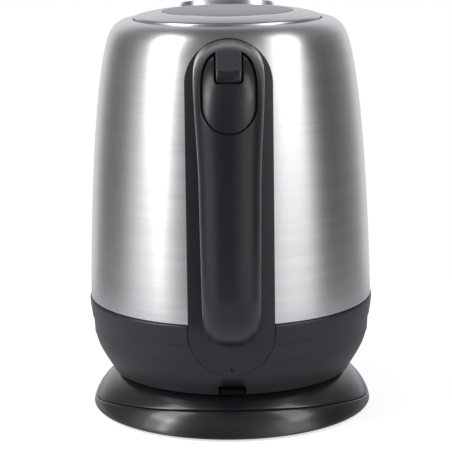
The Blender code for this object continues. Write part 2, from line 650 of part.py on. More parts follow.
# ---------------------------------------------------------------- steel body and mouth
def make_steel_body(steel, parent):
    """Drawn wall with a rounded shoulder and a rolled lip, open at both ends."""
    outer = [(TUCK_RADIUS, TUCK_Z), (TUCK_RADIUS, SKIRT_RIM_Z), (BODY_RADIUS - 0.0004, SKIRT_RIM_Z),
             (BODY_RADIUS, SKIRT_RIM_Z + 0.0004)]
    outer += steel_outline()[1:]
    lip = [(MOUTH_RADIUS - STEEL, LIP_Z - STEEL), (MOUTH_RADIUS - STEEL, LIP_Z - LIP_DEPTH - FIT),
           (MOUTH_RADIUS, LIP_Z - LIP_DEPTH - FIT), (MOUTH_RADIUS, LIP_Z - STEEL - 0.0001)]
    inner = inset_line(steel_outline(4, 4)[1:-1], STEEL)
    inner = [(TUCK_RADIUS - STEEL, TUCK_Z), (TUCK_RADIUS - STEEL, SKIRT_RIM_Z + STEEL)] + inner
    body = turned("steel_body", outer + lip + inner[::-1], steel, parent)
    top = LIP_Z - WINDOW_BELOW_LIP
    cut(body, block("spout window", (-WINDOW_HALF_WIDTH, 0.03, top - WINDOW_HEIGHT), (WINDOW_HALF_WIDTH, 0.09, top)))
    half = BOLT_HALF_WIDTH + SLIP
    cut(body, block("bolt slot", (-half, -NECK_RADIUS - 0.01, BOLT_TOP_Z - BOLT_THICKNESS - SLIP),
                    (half, -MOUTH_RADIUS - 0.004, BOLT_TOP_Z + SLIP)))
    gauge = stadium(GAUGE_HALF_WIDTH - 0.0018, GAUGE_TOP_Z - GAUGE_LENGTH + 0.0020, GAUGE_TOP_Z - 0.0020, 6)
    cut(body, prism("gauge slot", gauge, "Y", -0.10, -0.04))
    return body


def inset_line(points, depth):
    """Move a line of (radius, z) points inwards, square to its run."""
    moved = []
    for i, (r, z) in enumerate(points):
        before = points[max(i - 1, 0)]
        after = points[min(i + 1, len(points) - 1)]
        dr, dz = after[0] - before[0], after[1] - before[1]
        length = sqrt(dr * dr + dz * dz)
        moved.append((r - depth * dz / length, z + depth * dr / length))
    return moved


def make_collar(black, parent):
    """Ring inside the mouth that the lid seats on, with two lugs for the hinge pin."""
    wall = COLLAR_RADIUS - COLLAR_WALL
    seat = COLLAR_RADIUS - SEAT_WIDTH - COLLAR_WALL
    collar = turned("mouth_collar",
                    [(wall, COLLAR_TOP_Z), (COLLAR_RADIUS, COLLAR_TOP_Z), (COLLAR_RADIUS, SEAT_Z - 0.0020),
                     (seat, SEAT_Z - 0.0020), (seat, SEAT_Z), (wall, SEAT_Z)], black, parent)
    inner_x = ARM_INNER_X + ARM_WIDTH + SLIP
    for side in (-1, 1):
        xs = sorted((side * inner_x, side * (inner_x + LUG_WIDTH)))
        lug = [(HINGE_Y - 0.0020, HINGE_Z - 0.0010), (HINGE_Y - 0.0012, HINGE_Z + 0.0016), (HINGE_Y + 0.0010, HINGE_Z + 0.0016),
               (-COLLAR_RADIUS + 0.0032, HINGE_Z + 0.0006), (-COLLAR_RADIUS + 0.0032, SEAT_Z - 0.0010),
               (-COLLAR_RADIUS + 0.0010, SEAT_Z - 0.0020)]
        join(collar, prism("lug", lug, "X", xs[0], xs[1]))
    cut(collar, block("arm well", (-inner_x, HINGE_Y - 0.01, SEAT_Z + 0.0002), (inner_x, -wall + 0.004, COLLAR_TOP_Z + 0.01)))
    reach = inner_x + LUG_WIDTH + 0.0040
    cut(collar, rod("pin bore", (-reach, HINGE_Y, HINGE_Z), (reach, HINGE_Y, HINGE_Z), PIN_RADIUS + 0.0002))
    return collar


def make_hinge_pin(steel, parent):
    reach = ARM_INNER_X + ARM_WIDTH + SLIP + LUG_WIDTH - 0.0003
    rod("hinge_pin", (-reach, HINGE_Y, HINGE_Z), (reach, HINGE_Y, HINGE_Z), PIN_RADIUS, steel, parent)


def make_spout(steel, parent):
    """Wide sheet spout welded over the window, open at its top."""
    low = LIP_Z - SPOUT_LENGTH
    nose = 12
    outline = steel_outline()
    levels = [low + (NECK_Z - 0.0060 - low) * i / 5 for i in range(6)]
    levels += [z for r, z in outline if z > NECK_Z - 0.0010] + [SPOUT_TOP_Z]
    loops = []
    for z in levels:
        share = (z - low) / (SPOUT_TOP_Z - low)
        half = 0.0050 + (SPOUT_HALF_WIDTH - 0.0050) * share ** 0.8
        reach = 0.0014 + (SPOUT_REACH - 0.0014) * share ** 1.3
        body = radius_at(outline, min(z, LIP_Z)) + 2 * FIT
        side_y = max(SPOUT_SIDE_Y, sqrt(body ** 2 - (half - SPOUT_SHEET) ** 2) + 0.0006)
        loop = []
        for shrink, order in ((0.0, 1), (SPOUT_SHEET, -1)):
            w = half - shrink
            start = sqrt(body ** 2 - w ** 2)
            arc = [(-w * cos(pi * i / nose), side_y + (reach - shrink) * sin(pi * i / nose), z) for i in range(nose + 1)]
            loop += ([(-w, start, z)] + arc + [(w, start, z)])[::order]
        loops.append(loop)
    return lofted("spout", loops, steel, parent)


def make_filter(plastic, parent):
    """Frame with a grille that hangs inside the spout window."""
    top = LIP_Z - WINDOW_BELOW_LIP - 0.0008
    low = top - WINDOW_HEIGHT + 0.0016
    half = WINDOW_HALF_WIDTH + 0.0022
    inner_wall = radius_at(steel_outline(), top) - STEEL - 2 * FIT
    face = sqrt(inner_wall ** 2 - half ** 2) - 0.0006
    panel = block("spout_filter", (-half, face - FILTER_DEPTH, low - 0.0025), (half, face, top + 0.0012), plastic, parent)
    width = 2 * (WINDOW_HALF_WIDTH - 0.0012)
    bar = 0.0012
    gap = (width - (FILTER_BARS - 1) * bar) / FILTER_BARS
    for i in range(FILTER_BARS):
        x = -width / 2 + i * (gap + bar)
        cut(panel, block("gap", (x, face - 0.02, low), (x + gap, face + 0.02, top - 0.0012)))
    return panel


# ---------------------------------------------------------------- handle
def hug_line(low, high, gap):
    """Line of (radius, z) that follows skirt and steel at a gap, with all their bends."""
    bends = [z for r, z in skirt_outline() + steel_outline() if low + 0.001 < z < high - 0.001]
    return [(shell_radius(z) + gap, z) for z in [low] + bends + [high]]


def frame_solid(name, clearance, depth, low, high, half, material=None, parent=None, sectors=12):
    """A piece of plate that hugs the body, with the outline of an upright slot."""
    span = asin(min(0.95, (half + 0.004) / (NECK_RADIUS + 0.004)))
    inner = hug_line(low - 0.004, high + 0.003, clearance)
    outer = [(r + depth, z) for r, z in inner]
    ring = outer + inner[::-1]
    loops = []
    for i in range(sectors + 1):
        angle = span * (2 * i / sectors - 1)
        loops.append([(r * sin(angle), -r * cos(angle), z) for r, z in ring])
    plate = lofted(name, loops, material, parent)
    return combine(plate, prism("outline", stadium(half, low, high), "Y", -0.2, -0.02), "INTERSECT")


def make_frame(black, parent):
    frame = frame_solid("handle_frame", FIT + 0.0002, FRAME_DEPTH, FRAME_BOTTOM_Z, FRAME_TOP_Z, FRAME_HALF_WIDTH,
                        black, parent)
    gauge = stadium(GAUGE_HALF_WIDTH + FIT, GAUGE_TOP_Z - GAUGE_LENGTH - FIT, GAUGE_TOP_Z + FIT, 6)
    cut(frame, prism("gauge slot", gauge, "Y", -0.2, -0.02))
    half = BOLT_HALF_WIDTH + SLIP
    cut(frame, block("bolt slot", (-half, -0.12, BOLT_TOP_Z - BOLT_THICKNESS - SLIP), (half, -0.04, BOLT_TOP_Z + SLIP)))
    return frame


def make_gauge(clear, parent):
    """Clear water gauge let into the frame, behind the grip."""
    frame_solid("level_window", 3 * FIT, FRAME_DEPTH - 0.0008, GAUGE_TOP_Z - GAUGE_LENGTH, GAUGE_TOP_Z,
                GAUGE_HALF_WIDTH, clear, parent, sectors=2)


def handle_stations():
    """Dividing line of the handle: (y, z, normal angle, half width, outer height) per station."""
    root_y = -(NECK_RADIUS - 0.0040)
    end_y = -(BODY_RADIUS - 0.0030)
    r = HANDLE_CORNER
    top_z, low_z = HANDLE_TOP_Z, HANDLE_BOTTOM_Z
    end_shift = 0.0030
    stations = []
    for i in range(4):
        y = root_y + (GRIP_Y + r - root_y) * i / 3
        stations.append((y, top_z, pi / 2))
    for i in range(1, 8):
        a = pi / 2 * i / 8
        stations.append((GRIP_Y + r - r * sin(a), top_z - r + r * cos(a), pi / 2 + a))
    grip_top, grip_low = top_z - r, low_z + r
    for i in range(8):
        share = i / 7
        y = GRIP_Y + end_shift * share ** 2
        stations.append((y, grip_top + (grip_low - grip_top) * share, pi))
    for i in range(1, 8):
        a = pi / 2 * i / 8
        stations.append((GRIP_Y + end_shift + r - r * cos(a), low_z + r - r * sin(a), pi + a))
    for i in range(3):
        y = GRIP_Y + end_shift + r
        stations.append((y + (end_y - y) * i / 2, low_z, 3 * pi / 2))
    shaped = []
    lengths = [0.0]
    for a, b in zip(stations, stations[1:]):
        lengths.append(lengths[-1] + sqrt((a[0] - b[0]) ** 2 + (a[1] - b[1]) ** 2))
    for (y, z, normal), run in zip(stations, lengths):
        share = run / lengths[-1]
        half = blend(share, HANDLE_TOP_HALF, HANDLE_MID_HALF, HANDLE_END_HALF)
        crown = blend(share, CROWN_TOP, CROWN_MID, CROWN_END)
        shaped.append((y, z, normal, half, crown))
    return shaped


def blend(share, first, middle, last):
    """Ease from first to middle to last along the handle."""
    if share < 0.5:
        t = share / 0.5
        t = max(0.0, (t - 0.35) / 0.65)
        t = t * t * (3 - 2 * t)
        return first + (middle - first) * t
    t = (share - 0.5) / 0.5
    return middle + (last - middle) * t


def half_round(half, height, count=12, power=2.3):
    """Points of an upper half superellipse from +x to -x."""
    points = []
    for i in range(count + 1):
        a = pi * i / count
        c, s = cos(a), sin(a)
        points.append((half * (1 if c >= 0 else -1) * abs(c) ** (2 / power), height * abs(s) ** (2 / power)))
    return points


def handle_loop(station, section):
    y, z, normal = station[:3]
    ny, nz = cos(normal), sin(normal)
    return [(x, y + ny * n, z + nz * n) for x, n in section]


def trim_to_frame(item):
    """Cut a handle piece off square where it meets the frame."""
    side = hug_line(FRAME_BOTTOM_Z, FRAME_TOP_Z + 0.003, FRAME_DEPTH + 2 * FIT + 0.0003)
    side = [(side[0][0], side[0][1] - 0.02)] + side + [(side[-1][0], side[-1][1] + 0.02)]
    return cut(item, turned("trim", [(0, side[0][1])] + side + [(0, side[-1][1])], steps=2 * STEPS))


def make_grip(black, parent):
    """Outer shell of the handle, a channel that is open towards the fingers."""
    loops = []
    for station in handle_stations():
        half, crown = station[3], station[4]
        outer = half_round(half, crown)
        inner = half_round(half - GRIP_WALL, crown - GRIP_WALL)
        loops.append(handle_loop(station, outer + inner[::-1]))
    return trim_to_frame(lofted("handle_grip", loops, black, parent))


def make_liner(black, parent):
    """Inner shell of the handle, on the fingers' side."""
    loops = []
    for station in handle_stations():
        half = station[3]
        section = [(x, -FIT - n) for x, n in half_round(half, LINER_CROWN, 8)]
        loops.append(handle_loop(station, section))
    return trim_to_frame(lofted("handle_liner", loops, black, parent))


def cap_prism(name, margin):
    low = HANDLE_TOP_Z + CROWN_TOP - CAP_LENGTH - margin
    half = CAP_HALF_WIDTH + margin
    round_end = [(half * cos(pi + pi * i / 12), low + half + half * sin(pi + pi * i / 12)) for i in range(13)]
    outline = round_end + [(half, LIP_Z + 0.02), (-half, LIP_Z + 0.02)]
    return prism(name, outline, "Y", GRIP_Y - 0.03, GRIP_Y + HANDLE_CORNER - 0.0020 + margin)


def split_cap(grip, black, parent):
    """Take the cap round the button out of the grip's shell."""
    copy = bpy.data.objects.new("handle_cap", grip.data.copy())
    bpy.context.scene.collection.objects.link(copy)
    copy.parent = parent
    copy.matrix_parent_inverse = parent.matrix_world.inverted()
    copy.data.materials.clear()
    copy.data.materials.append(black)
    bpy.context.view_layer.update()
    combine(copy, cap_prism("cap area", 0.0), "INTERSECT")
    cut(grip, cap_prism("cap area", FIT))
    return copy


def button_frame():
    """Centre of the button's face on the handle's upper bend, and its press direction."""
    radius = HANDLE_CORNER + CROWN_TOP
    centre = Vector((0, GRIP_Y + HANDLE_CORNER - radius * cos(BUTTON_TILT),
                     HANDLE_TOP_Z - HANDLE_CORNER + radius * sin(BUTTON_TILT)))
    return centre, Vector((0, cos(BUTTON_TILT), -sin(BUTTON_TILT)))


def button_prism(name, margin, rise, depth, material=None, parent=None):
    """Round-cornered block in the press direction; its faces follow the handle's bend."""
    centre, press = button_frame()
    along = Vector((0, sin(BUTTON_TILT), cos(BUTTON_TILT)))
    half_x, half_l, corner = BUTTON_HALF_WIDTH + margin, BUTTON_LENGTH / 2 + margin, 0.0022 + margin
    straight = half_l - corner
    radius = HANDLE_CORNER + CROWN_TOP
    ends = [straight + corner * sin(pi / 2 * i / 3) for i in range(4)]
    runs = [-run for run in reversed(ends)] + [straight * i / 3 for i in (-2, -1, 0, 1, 2)] + ends
    loops = []
    for run in runs:
        over = max(0.0, abs(run) - straight)
        width = half_x - corner + sqrt(max(0.0, corner ** 2 - over ** 2)) + 0.00001
        bulge = radius - sqrt(radius ** 2 - run ** 2)
        middle = centre + along * run + press * bulge
        loops.append([middle + Vector((x, 0, 0)) + press * d
                      for x, d in ((-width, -rise), (width, -rise), (width, depth), (-width, depth))])
    return lofted(name, loops, material, parent)


def build_release(paint, cap, button_pivot, bolt_pivot, kettle):
    """Button in the cap, the bolt it draws and the spring under it."""
    cut(cap, button_prism("opening", BUTTON_GAP, 0.010, 0.012))
    button = button_prism("release_button", 0.0, BUTTON_RISE, BUTTON_DEPTH, paint["satin black"], button_pivot)
    tip = button_point(WEDGE_SHIFT, WEDGE_REACH)
    run = Vector((0, -BOLT_TRAVEL - BUTTON_TRAVEL * cos(BUTTON_TILT), BUTTON_TRAVEL * sin(BUTTON_TILT))).normalized()
    wedge = [tip, tip + WEDGE_LENGTH * run, button_point(0.0014, 0.0022), button_point(0.0065, 0.0026)]
    join(button, prism("wedge", [(p.y, p.z) for p in wedge], "X", -WEDGE_HALF_WIDTH, WEDGE_HALF_WIDTH))
    make_bolt(tip, run, paint["bakelite"], bolt_pivot)

    centre, press = button_frame()
    turns, samples, coil = 3, 12, 0.0026
    start = button_point(-SPRING_SHIFT, BUTTON_DEPTH + 0.0020)
    end = button_point(-SPRING_SHIFT, CROWN_TOP - 0.0004)
    side = Vector((1, 0, 0))
    other = press.cross(side)
    path = []
    for i in range(turns * samples + 1):
        a = tau * i / samples
        path.append(start + (end - start) * (i / (turns * samples)) + coil * (cos(a) * side + sin(a) * other))
    swept("button_spring", path, 0.0004, paint["screw steel"], kettle, sides=6)


def button_point(shift, depth):
    """Point shift along the button from its centre and depth below its face."""
    centre, press = button_frame()
    along = Vector((0, sin(BUTTON_TILT), cos(BUTTON_TILT)))
    return centre + along * shift + press * depth


def bend_point(angle, lift):
    """Point in the handle's upper bend, lift outside its dividing line, as (y, z)."""
    reach = HANDLE_CORNER + lift
    return GRIP_Y + HANDLE_CORNER - reach * sin(radians(angle)), HANDLE_TOP_Z - HANDLE_CORNER + reach * cos(radians(angle))


def make_bolt(tip, run, plastic, parent):
    """Bolt under the lid's tail; its fork ends in a cross bar that the button's wedge pushes."""
    low = BOLT_TOP_Z - BOLT_THICKNESS
    nose = HINGE_Y - TAIL_REACH - 0.0004
    rear = GRIP_Y + HANDLE_CORNER
    half = BOLT_HALF_WIDTH
    bolt = block("latch_bolt", (-half, rear - 0.0007, low), (half, nose, BOLT_TOP_Z), plastic, parent)
    away = Vector((0, -run.z, run.y))
    near = tip + FIT * away + 0.0002 * run
    far = near + 0.0009 * run
    outline = [(rear + 0.0010, BOLT_TOP_Z), (rear - 0.0007, BOLT_TOP_Z), bend_point(12, 0.0047), bend_point(26, 0.0038),
               (near.y, near.z), (far.y, far.z), bend_point(37.7, 0.0037), bend_point(35.7, 0.0022),
               bend_point(23.6, 0.0013), bend_point(11, 0.0015), (rear + 0.0010, low)]
    gap = WEDGE_HALF_WIDTH + SLIP
    for x0, x1 in ((-half, -gap), (gap, half)):
        join(bolt, prism("arm", outline, "X", x0, x1))
    bar = [(near.y, near.z), (far.y, far.z), bend_point(37.7, 0.0037), bend_point(35.7, 0.0022)]
    return join(bolt, prism("cross bar", bar, "X", -half + 0.0004, half - 0.0004))


def make_steam_tube(silicone, parent):
    """Tube in the handle's channel that leads steam down to the snap disc."""
    path = []
    for y, z, normal, half, crown in handle_stations()[1:-1]:
        lift = STEAM_TUBE_RADIUS + 0.0004
        path.append((STEAM_TUBE_X, y + cos(normal) * lift, z + sin(normal) * lift))
    tube = swept("steam_tube", path, STEAM_TUBE_RADIUS, silicone, parent, sides=8)
    return trim_to_frame(tube)


def make_handle_screws(frame, steel, parent):
    """Two screws through the frame into the body, under the handle's roots."""
    for name, z in (("frame_screw_1", HANDLE_TOP_Z + 0.0035), ("frame_screw_2", HANDLE_BOTTOM_Z - 0.0045)):
        y = -(shell_radius(z) + FIT + 0.0002)
        head = y - FRAME_DEPTH
        cut(frame, rod("bore", (0, y + 0.01, z), (0, head - 0.01, z), 0.0031, sides=16))
        rod(name, (0, y - 0.0010, z), (0, head + 0.0006, z), 0.0027, steel, parent, sides=16)


# ---------------------------------------------------------------- lid
def crown_line(count=4):
    """Top line of the lid from its rim to the disc, as (radius, z)."""
    start = (LID_RADIUS - 0.0010, LID_FOOT_Z + LID_RIM_HEIGHT)
    end = (LID_DISC_RADIUS + 0.0008, LIP_Z + LID_RISE - 0.0001)
    return bezier(start, (start[0] - 0.004, start[1] + 0.0014), (end[0] + 0.004, end[1]), end, count)


def build_lid(paint, pivot):
    top = crown_line()
    recess = LIP_Z + LID_RISE - LID_DISC - FIT
    sheet = 0.0008
    under = [(r - 0.0002, z - sheet) for r, z in top]
    turned("lid_shell",
           [(0, recess), (LID_DISC_RADIUS + FIT, recess)] + top[::-1]
           + [(LID_RADIUS, LID_FOOT_Z + LID_RIM_HEIGHT - 0.0009), (LID_RADIUS, LID_FOOT_Z),
              (LID_RADIUS - sheet, LID_FOOT_Z)] + under[:-1]
           + [(LID_DISC_RADIUS - 0.0006, recess - sheet), (0, recess - sheet)], paint["steel"], pivot)
    disc_low = recess + FIT
    turned("lid_disc", [(0, LIP_Z + LID_RISE), (LID_DISC_RADIUS - 0.0004, LIP_Z + LID_RISE),
                        (LID_DISC_RADIUS, LIP_Z + LID_RISE - 0.0004), (LID_DISC_RADIUS, disc_low), (0, disc_low)],
           paint["dark steel"], pivot)
    make_lid_liner(paint, pivot)


def make_lid_liner(paint, pivot):
    """Plastic underside of the lid: an inverted pan with hinge arms and a latch tail."""
    roof = LID_FOOT_Z + 0.0004
    foot = SEAT_Z + SEAL_HEIGHT + 2 * FIT
    liner = turned("lid_liner",
                   [(0, roof), (LINER_RADIUS, roof), (LINER_RADIUS, foot), (LINER_RADIUS - LINER_WALL, foot),
                    (LINER_RADIUS - LINER_WALL, roof - 0.0016), (0, roof - 0.0016)], paint["satin black"], pivot)
    y, z = HINGE_Y, HINGE_Z
    root = -LINER_RADIUS + 0.0012
    for side in (-1, 1):
        xs = sorted((side * ARM_INNER_X, side * (ARM_INNER_X + ARM_WIDTH)))
        arm = [(y - KNUCKLE_RADIUS, z), (y - KNUCKLE_RADIUS, z - 0.0018), (y - 0.0002, z - 0.0050),
               (root, z - 0.0050), (root, z - 0.0022), (y + KNUCKLE_RADIUS, z - 0.0022), (y + KNUCKLE_RADIUS, z)]
        arm += [(y + KNUCKLE_RADIUS * cos(pi * i / 8), z + KNUCKLE_RADIUS * sin(pi * i / 8)) for i in range(1, 8)]
        join(liner, prism("arm", arm, "X", xs[0], xs[1]))
    tail = [(y + 0.0020, z - 0.0024), (y + 0.0020, z - TAIL_DROP), (y - TAIL_REACH + 0.0012, z - TAIL_DROP),
            (y - TAIL_REACH, z - TAIL_DROP + 0.0008), (y - TAIL_REACH, z - TAIL_DROP + 0.0018), (y - 0.0020, z - 0.0020)]
    join(liner, prism("tail", tail, "X", -ARM_INNER_X - 0.0010, ARM_INNER_X + 0.0010))
    reach = ARM_INNER_X + ARM_WIDTH + 0.002
    cut(liner, rod("bore", (-reach, y, z), (reach, y, z), PIN_RADIUS + FIT))
    turned("lid_seal", [(LINER_RADIUS - LINER_WALL - 0.0006, foot - FIT), (LINER_RADIUS + 0.0002, foot - FIT),
                        (LINER_RADIUS + 0.0002, SEAT_Z + FIT), (LINER_RADIUS - LINER_WALL - 0.0006, SEAT_Z + FIT)],
           paint["silicone"], pivot)


def make_lid_spring(steel, parent):
    """Coil round the hinge pin between the arms, with its two legs."""
    turns, samples = 3, 12
    radius = PIN_RADIUS + 0.0005
    half = ARM_INNER_X - 0.0008
    path = []
    for i in range(turns * samples + 1):
        a = -pi / 2 + tau * i / samples
        x = -half + 2 * half * i / (turns * samples)
        path.append((x, HINGE_Y + radius * cos(a), HINGE_Z + radius * sin(a)))
    swept("lid_spring", path, 0.0003, steel, parent, sides=6)


# ---------------------------------------------------------------- assembly
def main():
    clear_scene()
    paint = {
        "gloss black": finish("gloss black plastic", (0.012, 0.012, 0.014), 0.22),
        "satin black": finish("satin black plastic", (0.022, 0.022, 0.025), 0.38),
        "dark plastic": finish("dark plastic", (0.03, 0.03, 0.03), 0.55),
        "bakelite": finish("control plastic", (0.08, 0.06, 0.05), 0.6),
        "rubber": finish("rubber", (0.02, 0.02, 0.02), 0.9),
        "silicone": finish("silicone", (0.55, 0.55, 0.52), 0.6),
        "clear": finish("clear plastic", (0.6, 0.66, 0.7), 0.12),
        "steel": finish("brushed steel", (0.62, 0.61, 0.62), 0.28, 1.0),
        "dark steel": finish("dark brushed steel", (0.32, 0.32, 0.35), 0.32, 1.0),
        "screw steel": finish("screw steel", (0.5, 0.5, 0.5), 0.35, 1.0),
        "aluminium": finish("aluminium", (0.75, 0.75, 0.76), 0.45, 1.0),
        "element": finish("element sheath", (0.2, 0.19, 0.18), 0.5, 1.0),
        "brass": finish("brass", (0.75, 0.58, 0.3), 0.3, 1.0),
    }
    root = empty("power_base", (0, 0, 0))
    socket = empty("socket", (0, 0, SKIRT_FOOT_Z), root)
    kettle = empty("kettle", (0, 0, SKIRT_FOOT_Z), socket)
    lid = empty("lid", (0, HINGE_Y, HINGE_Z), kettle)
    button_centre, press = button_frame()
    button = empty("button", button_centre, kettle)
    bolt = empty("bolt", (0, HINGE_Y, BOLT_TOP_Z), kettle)
    paddle = empty("paddle", (0, PADDLE_AXIS_Y, PADDLE_AXIS_Z), kettle)
    lever = empty("lever", (0, *lever_axis()), kettle)

    build_power_base(root, paint)
    socket_outer = build_socket(socket, paint)
    make_skirt(paint["satin black"], kettle)
    cover = make_bottom_cover(socket_outer, paint["satin black"], kettle)
    make_bottom_screws(cover, paint["screw steel"], kettle)
    make_heater(paint, kettle)
    make_control(paint, kettle)
    build_switch(paint, paddle, kettle, lever)

    make_steel_body(paint["steel"], kettle)
    make_collar(paint["satin black"], kettle)
    make_hinge_pin(paint["screw steel"], kettle)
    make_spout(paint["steel"], kettle)
    make_filter(paint["dark plastic"], kettle)

    frame = make_frame(paint["satin black"], kettle)
    make_gauge(paint["clear"], kettle)
    make_handle_screws(frame, paint["screw steel"], kettle)
    grip = make_grip(paint["satin black"], kettle)
    make_liner(paint["satin black"], kettle)
    cap = split_cap(grip, paint["satin black"], kettle)
    build_release(paint, cap, button, bolt, kettle)
    make_steam_tube(paint["silicone"], kettle)

    build_lid(paint, lid)
    make_lid_spring(paint["screw steel"], kettle)


main()
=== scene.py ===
"""Looks of the cordless steel kettle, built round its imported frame.

Metres, +Z up, the handle towards -Y and the spout towards +Y. Each piece that is seen up close is
made again here with fine round edges, in the place and size of the CAD node it stands for.
"""
from math import asin, cos, pi, radians, sin, sqrt, tau

import bmesh
import bpy
from mathutils import Matrix, Vector


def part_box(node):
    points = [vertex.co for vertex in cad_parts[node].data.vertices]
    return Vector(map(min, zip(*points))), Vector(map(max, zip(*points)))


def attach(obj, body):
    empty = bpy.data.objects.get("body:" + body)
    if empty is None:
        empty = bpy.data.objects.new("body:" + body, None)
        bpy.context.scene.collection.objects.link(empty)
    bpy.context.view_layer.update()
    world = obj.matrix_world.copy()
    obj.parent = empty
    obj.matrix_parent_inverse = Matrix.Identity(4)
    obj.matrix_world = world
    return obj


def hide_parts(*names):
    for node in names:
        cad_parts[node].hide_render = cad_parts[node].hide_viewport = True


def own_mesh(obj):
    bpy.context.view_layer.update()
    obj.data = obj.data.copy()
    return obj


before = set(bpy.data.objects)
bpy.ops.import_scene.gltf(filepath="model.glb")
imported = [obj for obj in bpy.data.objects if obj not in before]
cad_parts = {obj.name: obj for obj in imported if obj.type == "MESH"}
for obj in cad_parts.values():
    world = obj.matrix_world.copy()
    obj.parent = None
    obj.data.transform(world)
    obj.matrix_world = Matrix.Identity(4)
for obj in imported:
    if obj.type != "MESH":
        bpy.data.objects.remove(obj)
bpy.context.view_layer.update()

MM = 0.001

# ---------------------------------------------------------------- sizes taken from the frame
BODY_LOW, BODY_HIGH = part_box("steel_body")
SKIRT_LOW, SKIRT_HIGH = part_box("base_skirt")
TRAY_LOW, TRAY_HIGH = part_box("base_tray")
LID_LOW, LID_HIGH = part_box("lid_shell")
DISC_LOW, DISC_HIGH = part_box("lid_disc")
FRAME_LOW, FRAME_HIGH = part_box("handle_frame")
CAP_LOW, CAP_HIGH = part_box("handle_cap")
SPOUT_LOW, SPOUT_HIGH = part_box("spout")
GAUGE_LOW, GAUGE_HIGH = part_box("level_window")
COVER_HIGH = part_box("base_cover")[1]
PADDLE_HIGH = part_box("power_switch")[1]
FILTER_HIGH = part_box("spout_filter")[1]

LIP_Z = BODY_HIGH.z
BODY_RADIUS = BODY_HIGH.x
SKIRT_RADIUS = SKIRT_HIGH.x
SKIRT_RIM_Z = SKIRT_HIGH.z + 0.3 * MM
SKIRT_FOOT_Z = SKIRT_LOW.z
BASE_RADIUS = TRAY_HIGH.x
BASE_FLOOR_Z = TRAY_LOW.z
BASE_TOP_Z = COVER_HIGH.z

# ---------------------------------------------------------------- shapes that the boxes don't give
NECK_RADIUS = BODY_RADIUS - 11.15 * MM
NECK_Z = LIP_Z - 15.0 * MM
MOUTH_RADIUS = NECK_RADIUS - 14.8 * MM
SHEET = 0.6 * MM
WINDOW_DROP = 13.0 * MM
WINDOW_HEIGHT = 18.0 * MM
BOLT_SLOT_HALF = 4.1 * MM
BOLT_SLOT_LOW_Z = LIP_Z - 10.9 * MM
BOLT_SLOT_HIGH_Z = LIP_Z - 7.5 * MM
SPOUT_SHEET = 0.8 * MM

SKIRT_STEP = 0.5 * MM
SKIRT_FOOT_RADIUS = 66.4 * MM
SKIRT_WALL = 2.1 * MM
UPPER_TIER_Z = SKIRT_RIM_Z - 11.8 * MM
LOWER_TIER_Z = UPPER_TIER_Z - 9.0 * MM
NOTCH_HEIGHT = 5.2 * MM

BASE_OUTER_RADIUS = BASE_RADIUS + 0.1 * MM
BASE_TOP_RADIUS = 57.5 * MM
BASE_CROWN = 1.57
BASE_WALL = 2.0 * MM
PILLAR_HOLE = 15.8 * MM
INLET_HOLE = 4.6 * MM
SEAM_FRONT_Z = TRAY_HIGH.z + 0.15 * MM
SEAM_BACK_Z = 4.0 * MM
SEAM_SLOPE = 0.157
BASE_SCREW_CIRCLE = 40.0 * MM

HANDLE_TOP_Z = LIP_Z - 18.3 * MM
HANDLE_LOW_Z = 66.8 * MM
HANDLE_LEAN = 3.0 * MM
CORNER = 23.0 * MM
GRIP_Y = -(BODY_RADIUS + 34.5 * MM)
HALVES = (17.6 * MM, 15.3 * MM, 14.3 * MM)
CROWNS = (13.5 * MM, 11.8 * MM, 11.0 * MM)
CROWN_POWER = 2.08
GRIP_WALL = 2.6 * MM
LINER_DEPTH = 5.2 * MM
GROOVE_DEPTH = 1.0 * MM
CAP_TOP_Z = LIP_Z - 6.6 * MM
CAP_SPRING_Z = LIP_Z - 24.0 * MM

BUTTON_TILT = radians(52.5)
BUTTON_HALF_WIDTH = 6.2 * MM
BUTTON_HALF_LENGTH = 10.25 * MM
BUTTON_CORNER = 2.2 * MM
BUTTON_RISE = 2.35 * MM
BUTTON_LIP = 4.4 * MM
BUTTON_SMILE = 1.5 * MM

FINE = 192
SMOOTH_ANGLE = 34

CAMERA_PLACE = (-0.0022, -0.978, 0.3074)
CAMERA_PITCH = 11.988
CAMERA_ROLL = -0.717
CAMERA_LENS = 143.4265
FLOOR_RADIUS = 0.32


def button_place():
    """Centre of the button on the handle's crown, and the direction it is pressed in."""
    radius = CORNER + CROWNS[0]
    centre = Vector((0, GRIP_Y + CORNER - radius * cos(BUTTON_TILT),
                     HANDLE_TOP_Z - CORNER + radius * sin(BUTTON_TILT)))
    return centre, Vector((0, cos(BUTTON_TILT), -sin(BUTTON_TILT)))


# ---------------------------------------------------------------- shader maths
class Wire:
    """A shader socket that can be added, multiplied and compared like a number."""

    def __init__(self, paint, socket):
        self.paint = paint
        self.socket = socket

    def maths(self, operation, *others):
        inputs = dict(enumerate((self, *others)))
        return self.paint.node("ShaderNodeMath", {"operation": operation}, inputs)[0]

    def __add__(self, other):
        return self.maths("ADD", other)

    def __radd__(self, other):
        return self.maths("ADD", other)

    def __sub__(self, other):
        return self.maths("SUBTRACT", other)

    def __rsub__(self, other):
        return self.paint.node("ShaderNodeMath", {"operation": "SUBTRACT"}, {0: other, 1: self})[0]

    def __mul__(self, other):
        return self.maths("MULTIPLY", other)

    def __rmul__(self, other):
        return self.maths("MULTIPLY", other)

    def between(self, low, high):
        """0 below low, 1 above high and a smooth rise between them."""
        inputs = {"Value": self, "From Min": low, "From Max": high}
        return self.paint.node("ShaderNodeMapRange", {"interpolation_type": "SMOOTHSTEP"}, inputs)[0]


